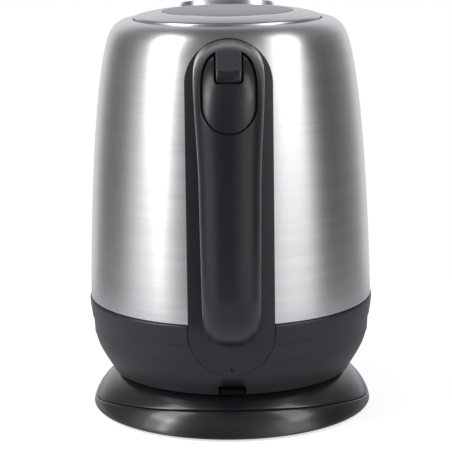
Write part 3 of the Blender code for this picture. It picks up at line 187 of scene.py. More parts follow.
class Paint:
    """The nodes of a material, or of the world, under construction."""

    def __init__(self, owner):
        owner.use_nodes = True
        self.owner = owner
        self.tree = owner.node_tree
        self.shader = self.tree.nodes.get("Principled BSDF")

    def node(self, kind, settings=None, inputs=None):
        """Add a node: settings first, then the values or links of its sockets."""
        made = self.tree.nodes.new(kind)
        for key, value in (settings or {}).items():
            setattr(made, key, value)
        for key, value in (inputs or {}).items():
            self.feed(made.inputs[key], value)
        return [Wire(self, socket) for socket in made.outputs]

    def feed(self, socket, value):
        if isinstance(value, Wire):
            self.tree.links.new(value.socket, socket)
        else:
            socket.default_value = value

    def set(self, **values):
        for key, value in values.items():
            self.feed(self.shader.inputs[key.replace("_", " ")], value)

    def place(self):
        """Object coordinates in metres."""
        return self.node("ShaderNodeTexCoord")[3]

    def stretched(self, scale):
        """Object coordinates, multiplied per axis."""
        inputs = {0: self.place(), 1: scale}
        return self.node("ShaderNodeVectorMath", {"operation": "MULTIPLY"}, inputs)[0]

    def noise(self, vector, scale=1.0, detail=2.0, roughness=0.5):
        inputs = {"Vector": vector, "Scale": scale, "Detail": detail, "Roughness": roughness}
        return self.node("ShaderNodeTexNoise", {}, inputs)[0]

    def mixed(self, share, first, second):
        """Colour between first and second."""
        inputs = {0: share, 6: first, 7: second}
        return self.node("ShaderNodeMix", {"data_type": "RGBA"}, inputs)[2]

    def fixed(self, **values):
        """Set plain values on the shader's own sockets."""
        for key, value in values.items():
            self.shader.inputs[key.replace("_", " ")].default_value = value

    def ramp(self, value, stops):
        """Brightness by position: a row of (position from 0 to 1, level)."""
        made = self.tree.nodes.new("ShaderNodeValToRGB")
        made.color_ramp.interpolation = "B_SPLINE"
        points = made.color_ramp.elements
        while len(points) < len(stops):
            points.new(0.5)
        for point, (position, level) in zip(points, stops):
            point.position = position
            point.color = (level, level, level, 1.0)
        self.feed(made.inputs[0], value)
        return Wire(self, made.outputs[0])

    def bump(self, height, depth, strength=1.0):
        inputs = {"Height": height, "Distance": depth, "Strength": strength}
        self.set(Normal=self.node("ShaderNodeBump", {}, inputs)[0])


def shade(tint, factor=1.0):
    """A tint, made lighter or darker, as a socket's colour."""
    return tuple(c * factor for c in tint) + (1.0,)


def brushed_sheet(name, tint, rough):
    """Steel brushed round the kettle's axis: fine long lines and a soft cloudiness."""
    paint = Paint(bpy.data.materials.new(name))
    lines = paint.noise(paint.stretched((26.0, 26.0, 2600.0)), detail=3.0, roughness=0.6)
    broad = paint.noise(paint.stretched((9.0, 9.0, 420.0)), detail=2.0)
    cloud = paint.noise(paint.stretched((14.0, 14.0, 10.0)), detail=2.0)
    tone = lines.between(0.30, 0.72) * 0.6 + broad.between(0.3, 0.7) * 0.4
    colour = paint.mixed(tone, shade(tint, 0.88), shade(tint))
    paint.set(Base_Color=colour, Metallic=1.0, Roughness=rough - 0.03 + tone * 0.05 + cloud * 0.03)
    paint.fixed(Anisotropic=0.75, Anisotropic_Rotation=0.25)
    paint.bump(lines * 0.7 + broad * 0.3, 0.000006, 0.5)
    return paint.owner


def brushed_flat(name, tint, rough):
    """Steel spun in a lathe: rings round the axis on a flat or domed top."""
    paint = Paint(bpy.data.materials.new(name))
    x, y, _ = paint.node("ShaderNodeSeparateXYZ", {}, {0: paint.place()})
    radius = (x * x + y * y).maths("SQRT")
    ring = paint.node("ShaderNodeCombineXYZ", {}, {0: radius * 2400.0, 1: x * 12.0, 2: y * 12.0})[0]
    lines = paint.noise(ring, detail=3.0, roughness=0.6)
    colour = paint.mixed(lines.between(0.3, 0.7), shade(tint, 0.86), shade(tint))
    paint.set(Base_Color=colour, Metallic=1.0, Roughness=rough - 0.02 + lines * 0.05)
    paint.bump(lines, 0.000005, 0.5)
    return paint.owner


def moulded_plastic(name, tint, rough, grain=0.00002, coat=0.0, shine=0.5):
    """Black moulded plastic with a fine sparked grain and a little unevenness of gloss."""
    paint = Paint(bpy.data.materials.new(name))
    place = paint.place()
    fine = paint.noise(place, 2600.0, 2.0, 0.6)
    cloud = paint.noise(place, 38.0, 3.0, 0.55)
    dust = paint.noise(place, 900.0, 4.0, 0.7).between(0.66, 0.78)
    colour = paint.mixed(cloud, shade(tint, 0.88), shade(tint, 1.12))
    colour = paint.mixed(dust * 0.05, colour, (0.30, 0.30, 0.32, 1.0))
    paint.set(Base_Color=colour, Roughness=rough - 0.03 + cloud * 0.05 + fine * 0.03)
    paint.fixed(Coat_Weight=coat, Coat_Roughness=0.12, Specular_IOR_Level=shine)
    paint.bump(fine, grain, 0.6)
    return paint.owner


def button_plastic(name):
    """Coarse grain on the button's face and a polished lip at its lower end."""
    paint = Paint(bpy.data.materials.new(name))
    place = paint.place()
    x, y, z = paint.node("ShaderNodeSeparateXYZ", {}, {0: place})
    centre = button_place()[0]
    run = (y - centre.y) * sin(BUTTON_TILT) + (z - centre.z) * cos(BUTTON_TILT)
    face = (run - x * x * 39.0).between(-0.0068, -0.0058)
    grain = paint.noise(place, 1500.0, 3.0, 0.65)
    blotch = paint.noise(place, 620.0, 3.0, 0.6)
    colour = paint.mixed(face * blotch, (0.018, 0.018, 0.021, 1.0), (0.060, 0.060, 0.072, 1.0))
    paint.set(Base_Color=colour, Roughness=0.22 + face * 0.30)
    paint.bump(grain * face, 0.00012, 0.7)
    return paint.owner


def plain_metal(name, tint, rough):
    """Bare metal with a slight cloudiness."""
    paint = Paint(bpy.data.materials.new(name))
    cloud = paint.noise(paint.place(), 260.0, 3.0, 0.6)
    colour = paint.mixed(cloud, shade(tint, 0.84), shade(tint))
    paint.set(Base_Color=colour, Metallic=1.0, Roughness=rough - 0.04 + cloud * 0.08)
    return paint.owner


def soft_rubber(name, tint, rough):
    """Matt rubber with a fine grain."""
    paint = Paint(bpy.data.materials.new(name))
    grain = paint.noise(paint.place(), 1800.0, 3.0, 0.6)
    colour = paint.mixed(grain, shade(tint, 0.8), shade(tint, 1.2))
    paint.set(Base_Color=colour, Roughness=rough)
    paint.bump(grain, 0.00003, 0.6)
    return paint.owner


def gauge_plastic(name):
    """Clear blue-grey window of the water gauge."""
    paint = Paint(bpy.data.materials.new(name))
    cloud = paint.noise(paint.place(), 60.0, 2.0)
    colour = paint.mixed(cloud, (0.50, 0.57, 0.62, 1.0), (0.60, 0.66, 0.70, 1.0))
    paint.set(Base_Color=colour, Roughness=0.08 + cloud * 0.04)
    paint.fixed(Transmission_Weight=0.6, IOR=1.49)
    return paint.owner


# ---------------------------------------------------------------- mesh helpers
def shaded(item, angle=SMOOTH_ANGLE):
    """Smooth shading that keeps the sharp edges."""
    item.data.shade_smooth()
    item.data.set_sharp_from_angle(angle=radians(angle))
    return item


def finished(name, bm, material, smooth_angle=SMOOTH_ANGLE):
    """Merge, turn outwards and shade a bmesh, and give it its material."""
    bmesh.ops.remove_doubles(bm, verts=bm.verts[:], dist=1e-6)
    bmesh.ops.recalc_face_normals(bm, faces=bm.faces[:])
    mesh = bpy.data.meshes.new(name)
    bm.to_mesh(mesh)
    bm.free()
    if material:
        mesh.materials.append(material)
    item = bpy.data.objects.new(name, mesh)
    bpy.context.scene.collection.objects.link(item)
    return shaded(item, smooth_angle)


def turned(name, outline, material, steps=FINE, centre=(0.0, 0.0)):
    """Spin a closed outline of (radius, z) about the vertical through centre."""
    bm = bmesh.new()
    points = [bm.verts.new((centre[0], centre[1] - r, z)) for r, z in outline]
    edges = [bm.edges.new(pair) for pair in zip(points, points[1:])]
    if outline[0][0] > 0 or outline[-1][0] > 0:
        edges.append(bm.edges.new((points[-1], points[0])))
    bmesh.ops.spin(bm, geom=points + edges, cent=(centre[0], centre[1], 0), axis=(0, 0, 1),
                   angle=tau, steps=steps, use_merge=True)
    return finished(name, bm, material)


def skinned(name, loops, material, ring=False, smooth_angle=SMOOTH_ANGLE):
    """Skin a row of closed loops with equal point counts."""
    bm = bmesh.new()
    rows = [[bm.verts.new(point) for point in loop] for loop in loops]
    pairs = list(zip(rows, rows[1:]))
    if ring:
        pairs.append((rows[-1], rows[0]))
    else:
        bm.faces.new(rows[0])
        bm.faces.new(rows[-1])
    for low, high in pairs:
        for i in range(len(low)):
            j = (i + 1) % len(low)
            bm.faces.new((low[i], low[j], high[j], high[i]))
    return finished(name, bm, material, smooth_angle)


def prism(name, outline, start, end):
    """Cutting tool: an outline of (x, z), drawn out along Y."""
    return skinned(name, [[(x, y, z) for x, z in outline] for y in (start, end)], None)


def oblong(half, low, high):
    """Upright rectangle as (x, z)."""
    return [(-half, low), (half, low), (half, high), (-half, high)]


def rounded(points, radius, count=4):
    """Replace the inner corners of an open line by small arcs of about this radius."""
    out = [points[0]]
    for before, corner, after in zip(points, points[1:], points[2:]):
        a, b, c = (Vector((*p, 0)) for p in (before, corner, after))
        room = min(radius, 0.45 * (a - b).length, 0.45 * (c - b).length)
        start = b + (a - b).normalized() * room
        end = b + (c - b).normalized() * room
        for i in range(count + 1):
            t = i / count
            p = start * (1 - t) ** 2 + b * 2 * t * (1 - t) + end * t ** 2
            out.append((p.x, p.y))
    return out + [points[-1]]


def bezier(p0, p1, p2, p3, count):
    """Points along a cubic curve."""
    points = []
    for i in range(count + 1):
        t = i / count
        weights = ((1 - t) ** 3, 3 * (1 - t) ** 2 * t, 3 * (1 - t) * t ** 2, t ** 3)
        points.append(tuple(sum(w * p[k] for w, p in zip(weights, (p0, p1, p2, p3))) for k in (0, 1)))
    return points


def modified(item, kind, **settings):
    """Add a modifier and keep its result as the piece's mesh."""
    modifier = item.modifiers.new(kind, kind)
    for key, value in settings.items():
        setattr(modifier, key, value)
    bpy.context.view_layer.update()
    graph = bpy.context.evaluated_depsgraph_get()
    result = bpy.data.meshes.new_from_object(item.evaluated_get(graph))
    item.modifiers.clear()
    item.data = result
    return item


def carved(item, tool, operation="DIFFERENCE"):
    """Cut, join or cross with a tool, which is used up."""
    modified(item, "BOOLEAN", operation=operation, object=tool, solver="EXACT")
    bpy.data.objects.remove(tool, do_unlink=True)
    return item


def eased(item, width, segments=3, angle=38):
    """Small round on the sharp edges, then smooth shading."""
    modified(item, "BEVEL", width=width, segments=segments, limit_method="ANGLE",
             angle_limit=radians(angle), harden_normals=False)
    return shaded(item)


def stands_for(item, body, node):
    """Let a finished piece ride on its body in place of its CAD node."""
    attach(item, body)
    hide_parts(node)


# ---------------------------------------------------------------- materials
STEEL = brushed_sheet("brushed steel", (0.72, 0.71, 0.715), 0.31)
LID_STEEL = brushed_flat("spun steel lid", (0.70, 0.69, 0.71), 0.28)
DISC_STEEL = brushed_flat("dark spun steel", (0.30, 0.31, 0.34), 0.34)
SATIN = moulded_plastic("satin black plastic", (0.021, 0.021, 0.025), 0.36)
HANDLE_SATIN = moulded_plastic("handle black plastic", (0.015, 0.015, 0.019), 0.28)
BUTTON_MATT = button_plastic("button grained plastic")
# Black paddle plastic made darker still, nearly without shine: painted shade of the dark gap under the skirt.
PADDLE_WITH_PAINTED_SHADE = moulded_plastic("paddle plastic with painted shade", (0.004, 0.004, 0.005), 0.6, shine=0.08)
GLOSS = moulded_plastic("gloss black plastic", (0.014, 0.014, 0.017), 0.25, grain=0.00001, coat=0.5)
DARK = moulded_plastic("dark grained plastic", (0.030, 0.030, 0.032), 0.6, grain=0.00005)
CONTROL = moulded_plastic("brown control plastic", (0.075, 0.055, 0.045), 0.6)
RUBBER = soft_rubber("foot rubber", (0.022, 0.022, 0.023), 0.85)
SILICONE = soft_rubber("milky silicone", (0.55, 0.55, 0.52), 0.55)
SCREW = plain_metal("plated screw steel", (0.56, 0.56, 0.55), 0.32)
ALUMINIUM = plain_metal("aluminium", (0.75, 0.75, 0.76), 0.42)
SHEATH = plain_metal("element sheath", (0.22, 0.20, 0.19), 0.5)
BRASS = plain_metal("brass", (0.78, 0.58, 0.30), 0.28)
GAUGE = gauge_plastic("gauge plastic")


# ---------------------------------------------------------------- outlines
def steel_line(inset=0.0, count_wall=26, count_shoulder=22):
    """Outer line of the steel wall and shoulder, moved inwards by inset."""
    run = NECK_Z - SKIRT_RIM_Z
    gain = BODY_RADIUS - NECK_RADIUS
    wall = bezier((BODY_RADIUS, SKIRT_RIM_Z), (BODY_RADIUS - 0.12 * gain, SKIRT_RIM_Z + 0.35 * run),
                  (BODY_RADIUS - 0.38 * gain, SKIRT_RIM_Z + 0.79 * run), (NECK_RADIUS, NECK_Z), count_wall)
    width = NECK_RADIUS - MOUTH_RADIUS
    drop = LIP_Z - NECK_Z
    shoulder = bezier((NECK_RADIUS, NECK_Z), (NECK_RADIUS - 0.15 * width, NECK_Z + 0.60 * drop),
                      (NECK_RADIUS - 0.34 * width, LIP_Z), (MOUTH_RADIUS, LIP_Z), count_shoulder)
    line = wall + shoulder[1:]
    if not inset:
        return line
    moved = []
    for i, (r, z) in enumerate(line):
        before, after = line[max(i - 1, 0)], line[min(i + 1, len(line) - 1)]
        dr, dz = after[0] - before[0], after[1] - before[1]
        size = sqrt(dr * dr + dz * dz)
        moved.append((r - inset * dz / size, z + inset * dr / size))
    return moved


def skirt_line():
    """Outer line of the skirt: a round foot, then tiers that step out to the rim."""
    step = SKIRT_STEP
    foot_r = SKIRT_FOOT_RADIUS
    middle_r = SKIRT_RADIUS - 4 * step
    lower_r = middle_r - 1.6 * step
    foot = bezier((foot_r, SKIRT_FOOT_Z), (foot_r + 1.5 * MM, SKIRT_FOOT_Z + 3.5 * MM),
                  (lower_r - 1.0 * MM, LOWER_TIER_Z - 7.5 * MM), (lower_r, LOWER_TIER_Z), 18)
    tiers = [(lower_r + step, LOWER_TIER_Z + step), (middle_r + 0.1 * MM, UPPER_TIER_Z),
             (middle_r + 1.5 * step, UPPER_TIER_Z + step), (SKIRT_RADIUS - 0.4 * MM, SKIRT_RIM_Z - 5.5 * MM),
             (SKIRT_RADIUS, SKIRT_RIM_Z - 1.2 * MM), (SKIRT_RADIUS - 0.4 * MM, SKIRT_HIGH.z)]
    return foot + tiers


def radius_at(line, z):
    """Radius of a line of (radius, z) at height z."""
    for (r0, z0), (r1, z1) in zip(line, line[1:]):
        if z0 <= z <= z1 and z1 > z0:
            return r0 + (r1 - r0) * (z - z0) / (z1 - z0)
    return line[0][0] if z < line[0][1] else line[-1][0]


def shell_radius(z):
    """Radius of the kettle's outer wall at height z."""
    return radius_at(skirt_line() if z <= SKIRT_RIM_Z else steel_line(), z)


# ---------------------------------------------------------------- steel body, lid and spout
def kettle_body():
    """Steel wall and shoulder as one sheet, rolled in at the mouth and tucked into the skirt."""
    tuck = BODY_RADIUS - 2.9 * MM
    corner = rounded([(tuck, SKIRT_RIM_Z), (BODY_RADIUS, SKIRT_RIM_Z), steel_line()[2]], 0.5 * MM)
    outer = [(tuck, BODY_LOW.z), (tuck, SKIRT_RIM_Z)] + corner[1:] + steel_line()[3:-1]
    lip = [(MOUTH_RADIUS + 0.4 * MM, LIP_Z), (MOUTH_RADIUS - 0.1 * MM, LIP_Z - 0.06 * MM),
           (MOUTH_RADIUS - 0.45 * MM, LIP_Z - 0.3 * MM), (MOUTH_RADIUS - SHEET, LIP_Z - 0.7 * MM),
           (MOUTH_RADIUS - SHEET, LIP_Z - 1.4 * MM), (MOUTH_RADIUS, LIP_Z - 1.4 * MM),
           (MOUTH_RADIUS + 0.1 * MM, LIP_Z - 0.8 * MM)]
    inner = steel_line(SHEET)[1:-1][::-1] + [(tuck - SHEET, SKIRT_RIM_Z + SHEET), (tuck - SHEET, BODY_LOW.z)]
    body = turned("kettle_steel_body", outer + lip + inner, STEEL)
    top = LIP_Z - WINDOW_DROP
    window = oblong(FILTER_HIGH.x - 2.2 * MM, top - WINDOW_HEIGHT, top)
    carved(body, prism("window", window, 0.03, 0.09))
    slot = oblong(BOLT_SLOT_HALF, BOLT_SLOT_LOW_Z, BOLT_SLOT_HIGH_Z)
    carved(body, prism("bolt slot", slot, -0.08, -0.0555))
    gauge = stadium(GAUGE_HIGH.x - 1.8 * MM, GAUGE_LOW.z + 2 * MM, GAUGE_HIGH.z - 2 * MM)
    carved(body, prism("gauge slot", gauge, -0.10, -0.04))
    stands_for(shaded(body), "kettle", "steel_body")


def stadium(half, low, high, sides=24):
    """Upright slot outline with round ends, as (x, z)."""
    outline = []
    for centre, first in ((low + half, pi), (high - half, 0.0)):
        for i in range(sides + 1):
            a = first + pi * i / sides
            outline.append((half * cos(a), centre + half * sin(a)))
    return outline


def lid_top():
    """Steel lid: a polished upright rim, a low dome and a recess for the disc."""
    rim_r = LID_HIGH.x
    rim_z = LID_LOW.z
    crown_z = DISC_HIGH.z - 0.1 * MM
    recess_r = DISC_HIGH.x + 0.35 * MM
    recess_z = DISC_LOW.z - 0.3 * MM
    dome = bezier((rim_r - 1.1 * MM, rim_z + 1.85 * MM), (rim_r - 5 * MM, rim_z + 3.0 * MM),
                  (recess_r + 4.5 * MM, crown_z), (recess_r + 0.5 * MM, crown_z), 14)
    edge = [(rim_r - 0.45 * MM, rim_z + 1.55 * MM), (rim_r - 0.1 * MM, rim_z + 1.1 * MM),
            (rim_r, rim_z + 0.6 * MM), (rim_r, rim_z), (rim_r - 0.8 * MM, rim_z)]
    recess = [(0, recess_z), (recess_r - 0.3 * MM, recess_z), (recess_r, recess_z + 0.3 * MM),
              (recess_r, crown_z - 0.25 * MM), (recess_r + 0.2 * MM, crown_z - 0.05 * MM)]
    under = [(r - 0.3 * MM, z - 0.8 * MM) for r, z in dome[:-2]]
    under += [(recess_r - 0.5 * MM, recess_z - 0.8 * MM), (0, recess_z - 0.8 * MM)]
    shell = turned("lid_steel_shell", recess + dome[::-1] + edge + under, LID_STEEL)
    stands_for(shell, "lid", "lid_shell")
    r, z = DISC_HIGH.x, DISC_HIGH.z
    disc = [(0, z), (r - 0.5 * MM, z), (r - 0.15 * MM, z - 0.1 * MM), (r, z - 0.4 * MM),
            (r, DISC_LOW.z), (0, DISC_LOW.z)]
    stands_for(turned("lid_inset_disc", disc, DISC_STEEL), "lid", "lid_disc")


def pouring_spout():
    """Wide sheet spout with a rolled edge, open at its top."""
    low, top = SPOUT_LOW.z, SPOUT_HIGH.z
    width = SPOUT_HIGH.x
    length = SPOUT_HIGH.y - (BODY_RADIUS - 5 * MM)
    sheet = SPOUT_SHEET
    line = steel_line(0.0, 12, 10)
    levels = [low + (NECK_Z - 3 * MM - low) * i / 14 for i in range(15)]
    levels += [z for r, z in line if z > NECK_Z - 1 * MM] + [top]
    count = 40
    loops = []
    for z in levels:
        share = (z - low) / (top - low)
        half = 5 * MM + (width - 5 * MM) * share ** 0.8
        reach = 1.4 * MM + (length - 1.4 * MM) * share ** 1.3
        skin = radius_at(line, min(z, LIP_Z)) + 0.35 * MM
        side_y = max(BODY_RADIUS - 5 * MM, sqrt(skin ** 2 - (half - sheet) ** 2) + 0.6 * MM)
        loop = []
        for shrink, order in ((0.0, 1), (sheet, -1)):
            w = half - shrink
            arc = [(-w * cos(pi * i / count), side_y + (reach - shrink) * sin(pi * i / count), z)
                   for i in range(count + 1)]
            start = sqrt(skin ** 2 - w ** 2)
            loop += ([(-w, start, z)] + arc + [(w, start, z)])[::order]
        loops.append(loop)
    spout = skinned("pouring_spout", loops, STEEL)
    stands_for(eased(spout, 0.3 * MM, 3), "kettle", "spout")


# ---------------------------------------------------------------- skirt and power base
def kettle_skirt():
    """Tiered plastic skirt with a notch for the paddle and a fine channel round the frame."""
    tuck = BODY_RADIUS - 2.6 * MM
    foot = 63.2 * MM
    outer = rounded(skirt_line(), 0.35 * MM, 3)
    inner = [(foot, SKIRT_FOOT_Z), (foot, SKIRT_FOOT_Z + 3.5 * MM)]
    inner += [(r - SKIRT_WALL, z) for r, z in skirt_line() if SKIRT_FOOT_Z + 4.5 * MM < z <= LOWER_TIER_Z]
    inner += [(inner[-1][0], LOWER_TIER_Z + 3 * MM), (tuck, BODY_LOW.z - 0.6 * MM), (tuck, SKIRT_HIGH.z)]
    skirt = turned("kettle_skirt", outer + inner[::-1], SATIN)
    notch = oblong(PADDLE_HIGH.x + 1.0 * MM, SKIRT_FOOT_Z - 0.01, SKIRT_FOOT_Z + NOTCH_HEIGHT)
    carved(skirt, prism("notch", notch, -0.09, -0.0564))
    channel = hugging_plate("frame channel", 3.0 * MM, -0.5 * MM, -1.3 * MM)
    channel.data.transform(Matrix.Translation((0, 0, -0.9 * MM)))
    carved(skirt, channel)
    stands_for(shaded(skirt), "kettle", "base_skirt")


def base_radius(z, radius=BASE_OUTER_RADIUS, top_radius=BASE_TOP_RADIUS, top_z=BASE_TOP_Z):
    """Radius of the domed base at height z."""
    share = min(1.0, max(0.0, (z - BASE_FLOOR_Z) / (top_z - BASE_FLOOR_Z)))
    return top_radius + (radius - top_radius) * (1 - share ** BASE_CROWN) ** (1 / BASE_CROWN)


def seam_z(angle):
    """Height of the seam, which slopes down from the front and then stays level."""
    return max(SEAM_BACK_Z, SEAM_FRONT_Z - SEAM_SLOPE * BASE_OUTER_RADIUS * 0.94 * (1 - cos(angle)))


def round_loop(angle, pairs):
    """Points of (radius, z) in the upright plane at this angle from the front."""
    return [(r * sin(angle), -r * cos(angle), z) for r, z in pairs]


def cover_section(seam):
    """Closed (radius, z) section of the base's cover above a seam at this height."""
    inner_top = BASE_TOP_Z - BASE_WALL
    outer = [(base_radius(seam) - 0.8 * MM, seam),
             (base_radius(seam + 0.05 * MM) - 0.35 * MM, seam + 0.05 * MM),
             (base_radius(seam + 0.25 * MM) - 0.08 * MM, seam + 0.25 * MM)]
    for k in range(23):
        z = BASE_TOP_Z - (BASE_TOP_Z - seam - 0.5 * MM) * (1 - k / 22) ** 1.7
        outer.append((base_radius(z), z))
    hole = [(PILLAR_HOLE + 0.3 * MM, BASE_TOP_Z), (PILLAR_HOLE, BASE_TOP_Z - 0.3 * MM),
            (PILLAR_HOLE, inner_top)]
    inner = []
    for k in reversed(range(9)):
        z = inner_top - (inner_top - seam) * (1 - k / 8) ** 1.7
        inner.append((base_radius(z, BASE_RADIUS - 1.9 * MM, BASE_TOP_RADIUS - BASE_WALL, inner_top), z))
    return outer + hole + inner


def tray_section(seam):
    """Closed (radius, z) section of the base's tray below a seam at this height."""
    top = seam - 0.3 * MM
    start = BASE_FLOOR_Z + 1.0 * MM
    floor_z = BASE_FLOOR_Z + BASE_WALL
    side = [(BASE_RADIUS - 1.5 * MM, BASE_FLOOR_Z), (BASE_RADIUS - 0.5 * MM, BASE_FLOOR_Z + 0.35 * MM)]
    for k in range(11):
        z = start + (top - 0.5 * MM - start) * k / 10
        side.append((base_radius(z), z))
    rim = base_radius(top)
    side += [(base_radius(top - 0.25 * MM) - 0.08 * MM, top - 0.25 * MM), (rim - 0.35 * MM, top - 0.05 * MM),
             (rim - 0.8 * MM, top)]
    return side + [(rim - BASE_WALL, top), (min(rim - BASE_WALL, 0.0725), floor_z),
                   (0.0, floor_z), (0.0, BASE_FLOOR_Z)]


def power_base():
    """Domed cover and tray of the power base, with a fine rounded seam between them."""
    angles = [tau * i / FINE for i in range(FINE)]
    cover_loops = [round_loop(a, cover_section(seam_z(a))) for a in angles]
    tray_loops = [round_loop(a, tray_section(seam_z(a))) for a in angles]
    cover = skinned("base_cover_shell", cover_loops, GLOSS, ring=True)
    tray = skinned("base_tray_shell", tray_loops, GLOSS, ring=True)
    low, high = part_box("cord_inlet")
    centre = (low.z + high.z) / 2
    for shell in (cover, tray):
        circle = [(INLET_HOLE * cos(tau * k / 48), centre + INLET_HOLE * sin(tau * k / 48))
                  for k in range(48)]
        carved(shell, prism("inlet hole", circle, 0.060, 0.090))
    for i in range(4):
        low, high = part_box("rubber_foot_%d" % (i + 1))
        centre = ((low.x + high.x) / 2, (low.y + high.y) / 2)
        pocket = BASE_FLOOR_Z + 1.0 * MM
        outline = [(0, pocket), (6.3 * MM, pocket), (6.3 * MM, -1 * MM), (0, -1 * MM)]
        carved(tray, turned("pocket", outline, None, 48, centre))
    for i in range(3):
        angle = tau * i / 3
        centre = (BASE_SCREW_CIRCLE * sin(angle), -BASE_SCREW_CIRCLE * cos(angle))
        deep, step = BASE_FLOOR_Z + 6 * MM, BASE_FLOOR_Z + 1.1 * MM
        bore = [(0, deep), (1.5 * MM, deep), (1.5 * MM, step), (3.1 * MM, step), (3.1 * MM, -1 * MM),
                (0, -1 * MM)]
        carved(tray, turned("bore", bore, None, 32, centre))
    stands_for(shaded(cover), "power_base", "base_cover")
    stands_for(shaded(tray), "power_base", "base_tray")


# ---------------------------------------------------------------- handle
def eased_between(share, first, middle, last):
    """Size along the handle: level at first, then an ease to middle and a taper to last."""
    if share < 0.5:
        t = max(0.0, (share / 0.5 - 0.35) / 0.65)
        t = t * t * (3 - 2 * t)
        return first + (middle - first) * t
    return middle + (last - middle) * (share - 0.5) / 0.5


def handle_line():
    """Dividing line of the handle as (y, z, normal angle, half width, outer height)."""
    straight, bend = 26, 24
    root_y = -(NECK_RADIUS - 4 * MM)
    end_y = -(BODY_RADIUS - 3 * MM)
    lean = HANDLE_LEAN
    line = [(root_y + (GRIP_Y + CORNER - root_y) * i / 10, HANDLE_TOP_Z, pi / 2) for i in range(11)]
    for i in range(1, bend):
        a = pi / 2 * i / bend
        line.append((GRIP_Y + CORNER - CORNER * sin(a), HANDLE_TOP_Z - CORNER + CORNER * cos(a), pi / 2 + a))
    high, low = HANDLE_TOP_Z - CORNER, HANDLE_LOW_Z + CORNER
    for i in range(straight + 1):
        share = i / straight
        line.append((GRIP_Y + lean * share ** 2, high + (low - high) * share, pi))
    for i in range(1, bend):
        a = pi / 2 * i / bend
        line.append((GRIP_Y + lean + CORNER - CORNER * cos(a), low - CORNER * sin(a), pi + a))
    foot_y = GRIP_Y + lean + CORNER
    line += [(foot_y + (end_y - foot_y) * i / 5, HANDLE_LOW_Z, 3 * pi / 2) for i in range(6)]
    runs = [0.0]
    for a, b in zip(line, line[1:]):
        runs.append(runs[-1] + sqrt((a[0] - b[0]) ** 2 + (a[1] - b[1]) ** 2))
    return [(y, z, n, eased_between(run / runs[-1], *HALVES), eased_between(run / runs[-1], *CROWNS))
            for (y, z, n), run in zip(line, runs)]


def half_round(half, height, count, power=2.3):
    """Half of a superellipse, from one side over the top to the other."""
    points = []
    for i in range(count + 1):
        a = pi * i / count
        c, s = cos(a), sin(a)
        points.append((half * (1 if c >= 0 else -1) * abs(c) ** (2 / power), height * abs(s) ** (2 / power)))
    return points


def across(station, section):
    """A section placed square to the handle's line."""
    y, z, normal = station[:3]
    return [(x, y + cos(normal) * n, z + sin(normal) * n) for x, n in section]


def hug_line(low, high, gap):
    """The kettle's outer wall between two heights, moved outwards by gap."""
    bends = [z for r, z in skirt_line() + steel_line() if low + 0.2 * MM < z < high - 0.2 * MM]
    return [(shell_radius(z) + gap, z) for z in [low] + bends + [high]]


def trimmed(item):
    """Cut off what reaches into the frame plate and the body."""
    side = hug_line(FRAME_LOW.z, FRAME_HIGH.z + 3 * MM, 5.4 * MM)
    side = [(side[0][0], side[0][1] - 0.02)] + side + [(side[-1][0], side[-1][1] + 0.02)]
    return carved(item, turned("trim", [(0, side[0][1])] + side + [(0, side[-1][1])], None, FINE))


def cap_area(margin):
    """Arched prism that parts the pad round the button from the grip."""
    half = CAP_HIGH.x + margin
    low = CAP_LOW.z - margin
    end = [(half * cos(pi + pi * i / 40), low + half + half * sin(pi + pi * i / 40)) for i in range(41)]
    rise = CAP_TOP_Z + margin - CAP_SPRING_Z
    arch = [(half * abs(cos(a)) ** 0.72 * (1 if cos(a) > 0 else -1), CAP_SPRING_Z + rise * sin(a) ** 0.80)
            for a in [pi * i / 48 for i in range(49)]]
    return prism("cap area", end + arch, GRIP_Y - 0.03, GRIP_Y + CORNER - 2 * MM + margin)


def button_block(name, margin, rise, depth):
    """Round-cornered tool in the press direction; its faces follow the handle's bend."""
    half_x, corner = BUTTON_HALF_WIDTH + margin, BUTTON_CORNER + margin
    straight = BUTTON_HALF_LENGTH + margin - corner
    count = 20
    ends = [straight + corner * sin(pi / 2 * i / 8) for i in range(9)]
    runs = [-run for run in reversed(ends)] + [straight * i / count for i in range(-count + 1, count)] + ends
    loops = []
    for run in runs:
        over = max(0.0, abs(run) - straight)
        width = half_x - corner + sqrt(max(0.0, corner ** 2 - over ** 2)) + 0.00001
        middle, press = bend_place(run)
        loops.append([middle + Vector((x, 0, 0)) + press * d
                      for x, d in ((-width, -rise), (width, -rise), (width, depth), (-width, depth))])
    return skinned(name, loops, None, smooth_angle=40)


def bend_place(run):
    """Point on the handle's crown line, run along from the button's centre, and the press direction."""
    centre, press = button_place()
    radius = CORNER + CROWNS[0]
    bulge = radius - sqrt(radius ** 2 - run ** 2)
    return centre + Vector((0, sin(BUTTON_TILT), cos(BUTTON_TILT))) * run + press * bulge, press


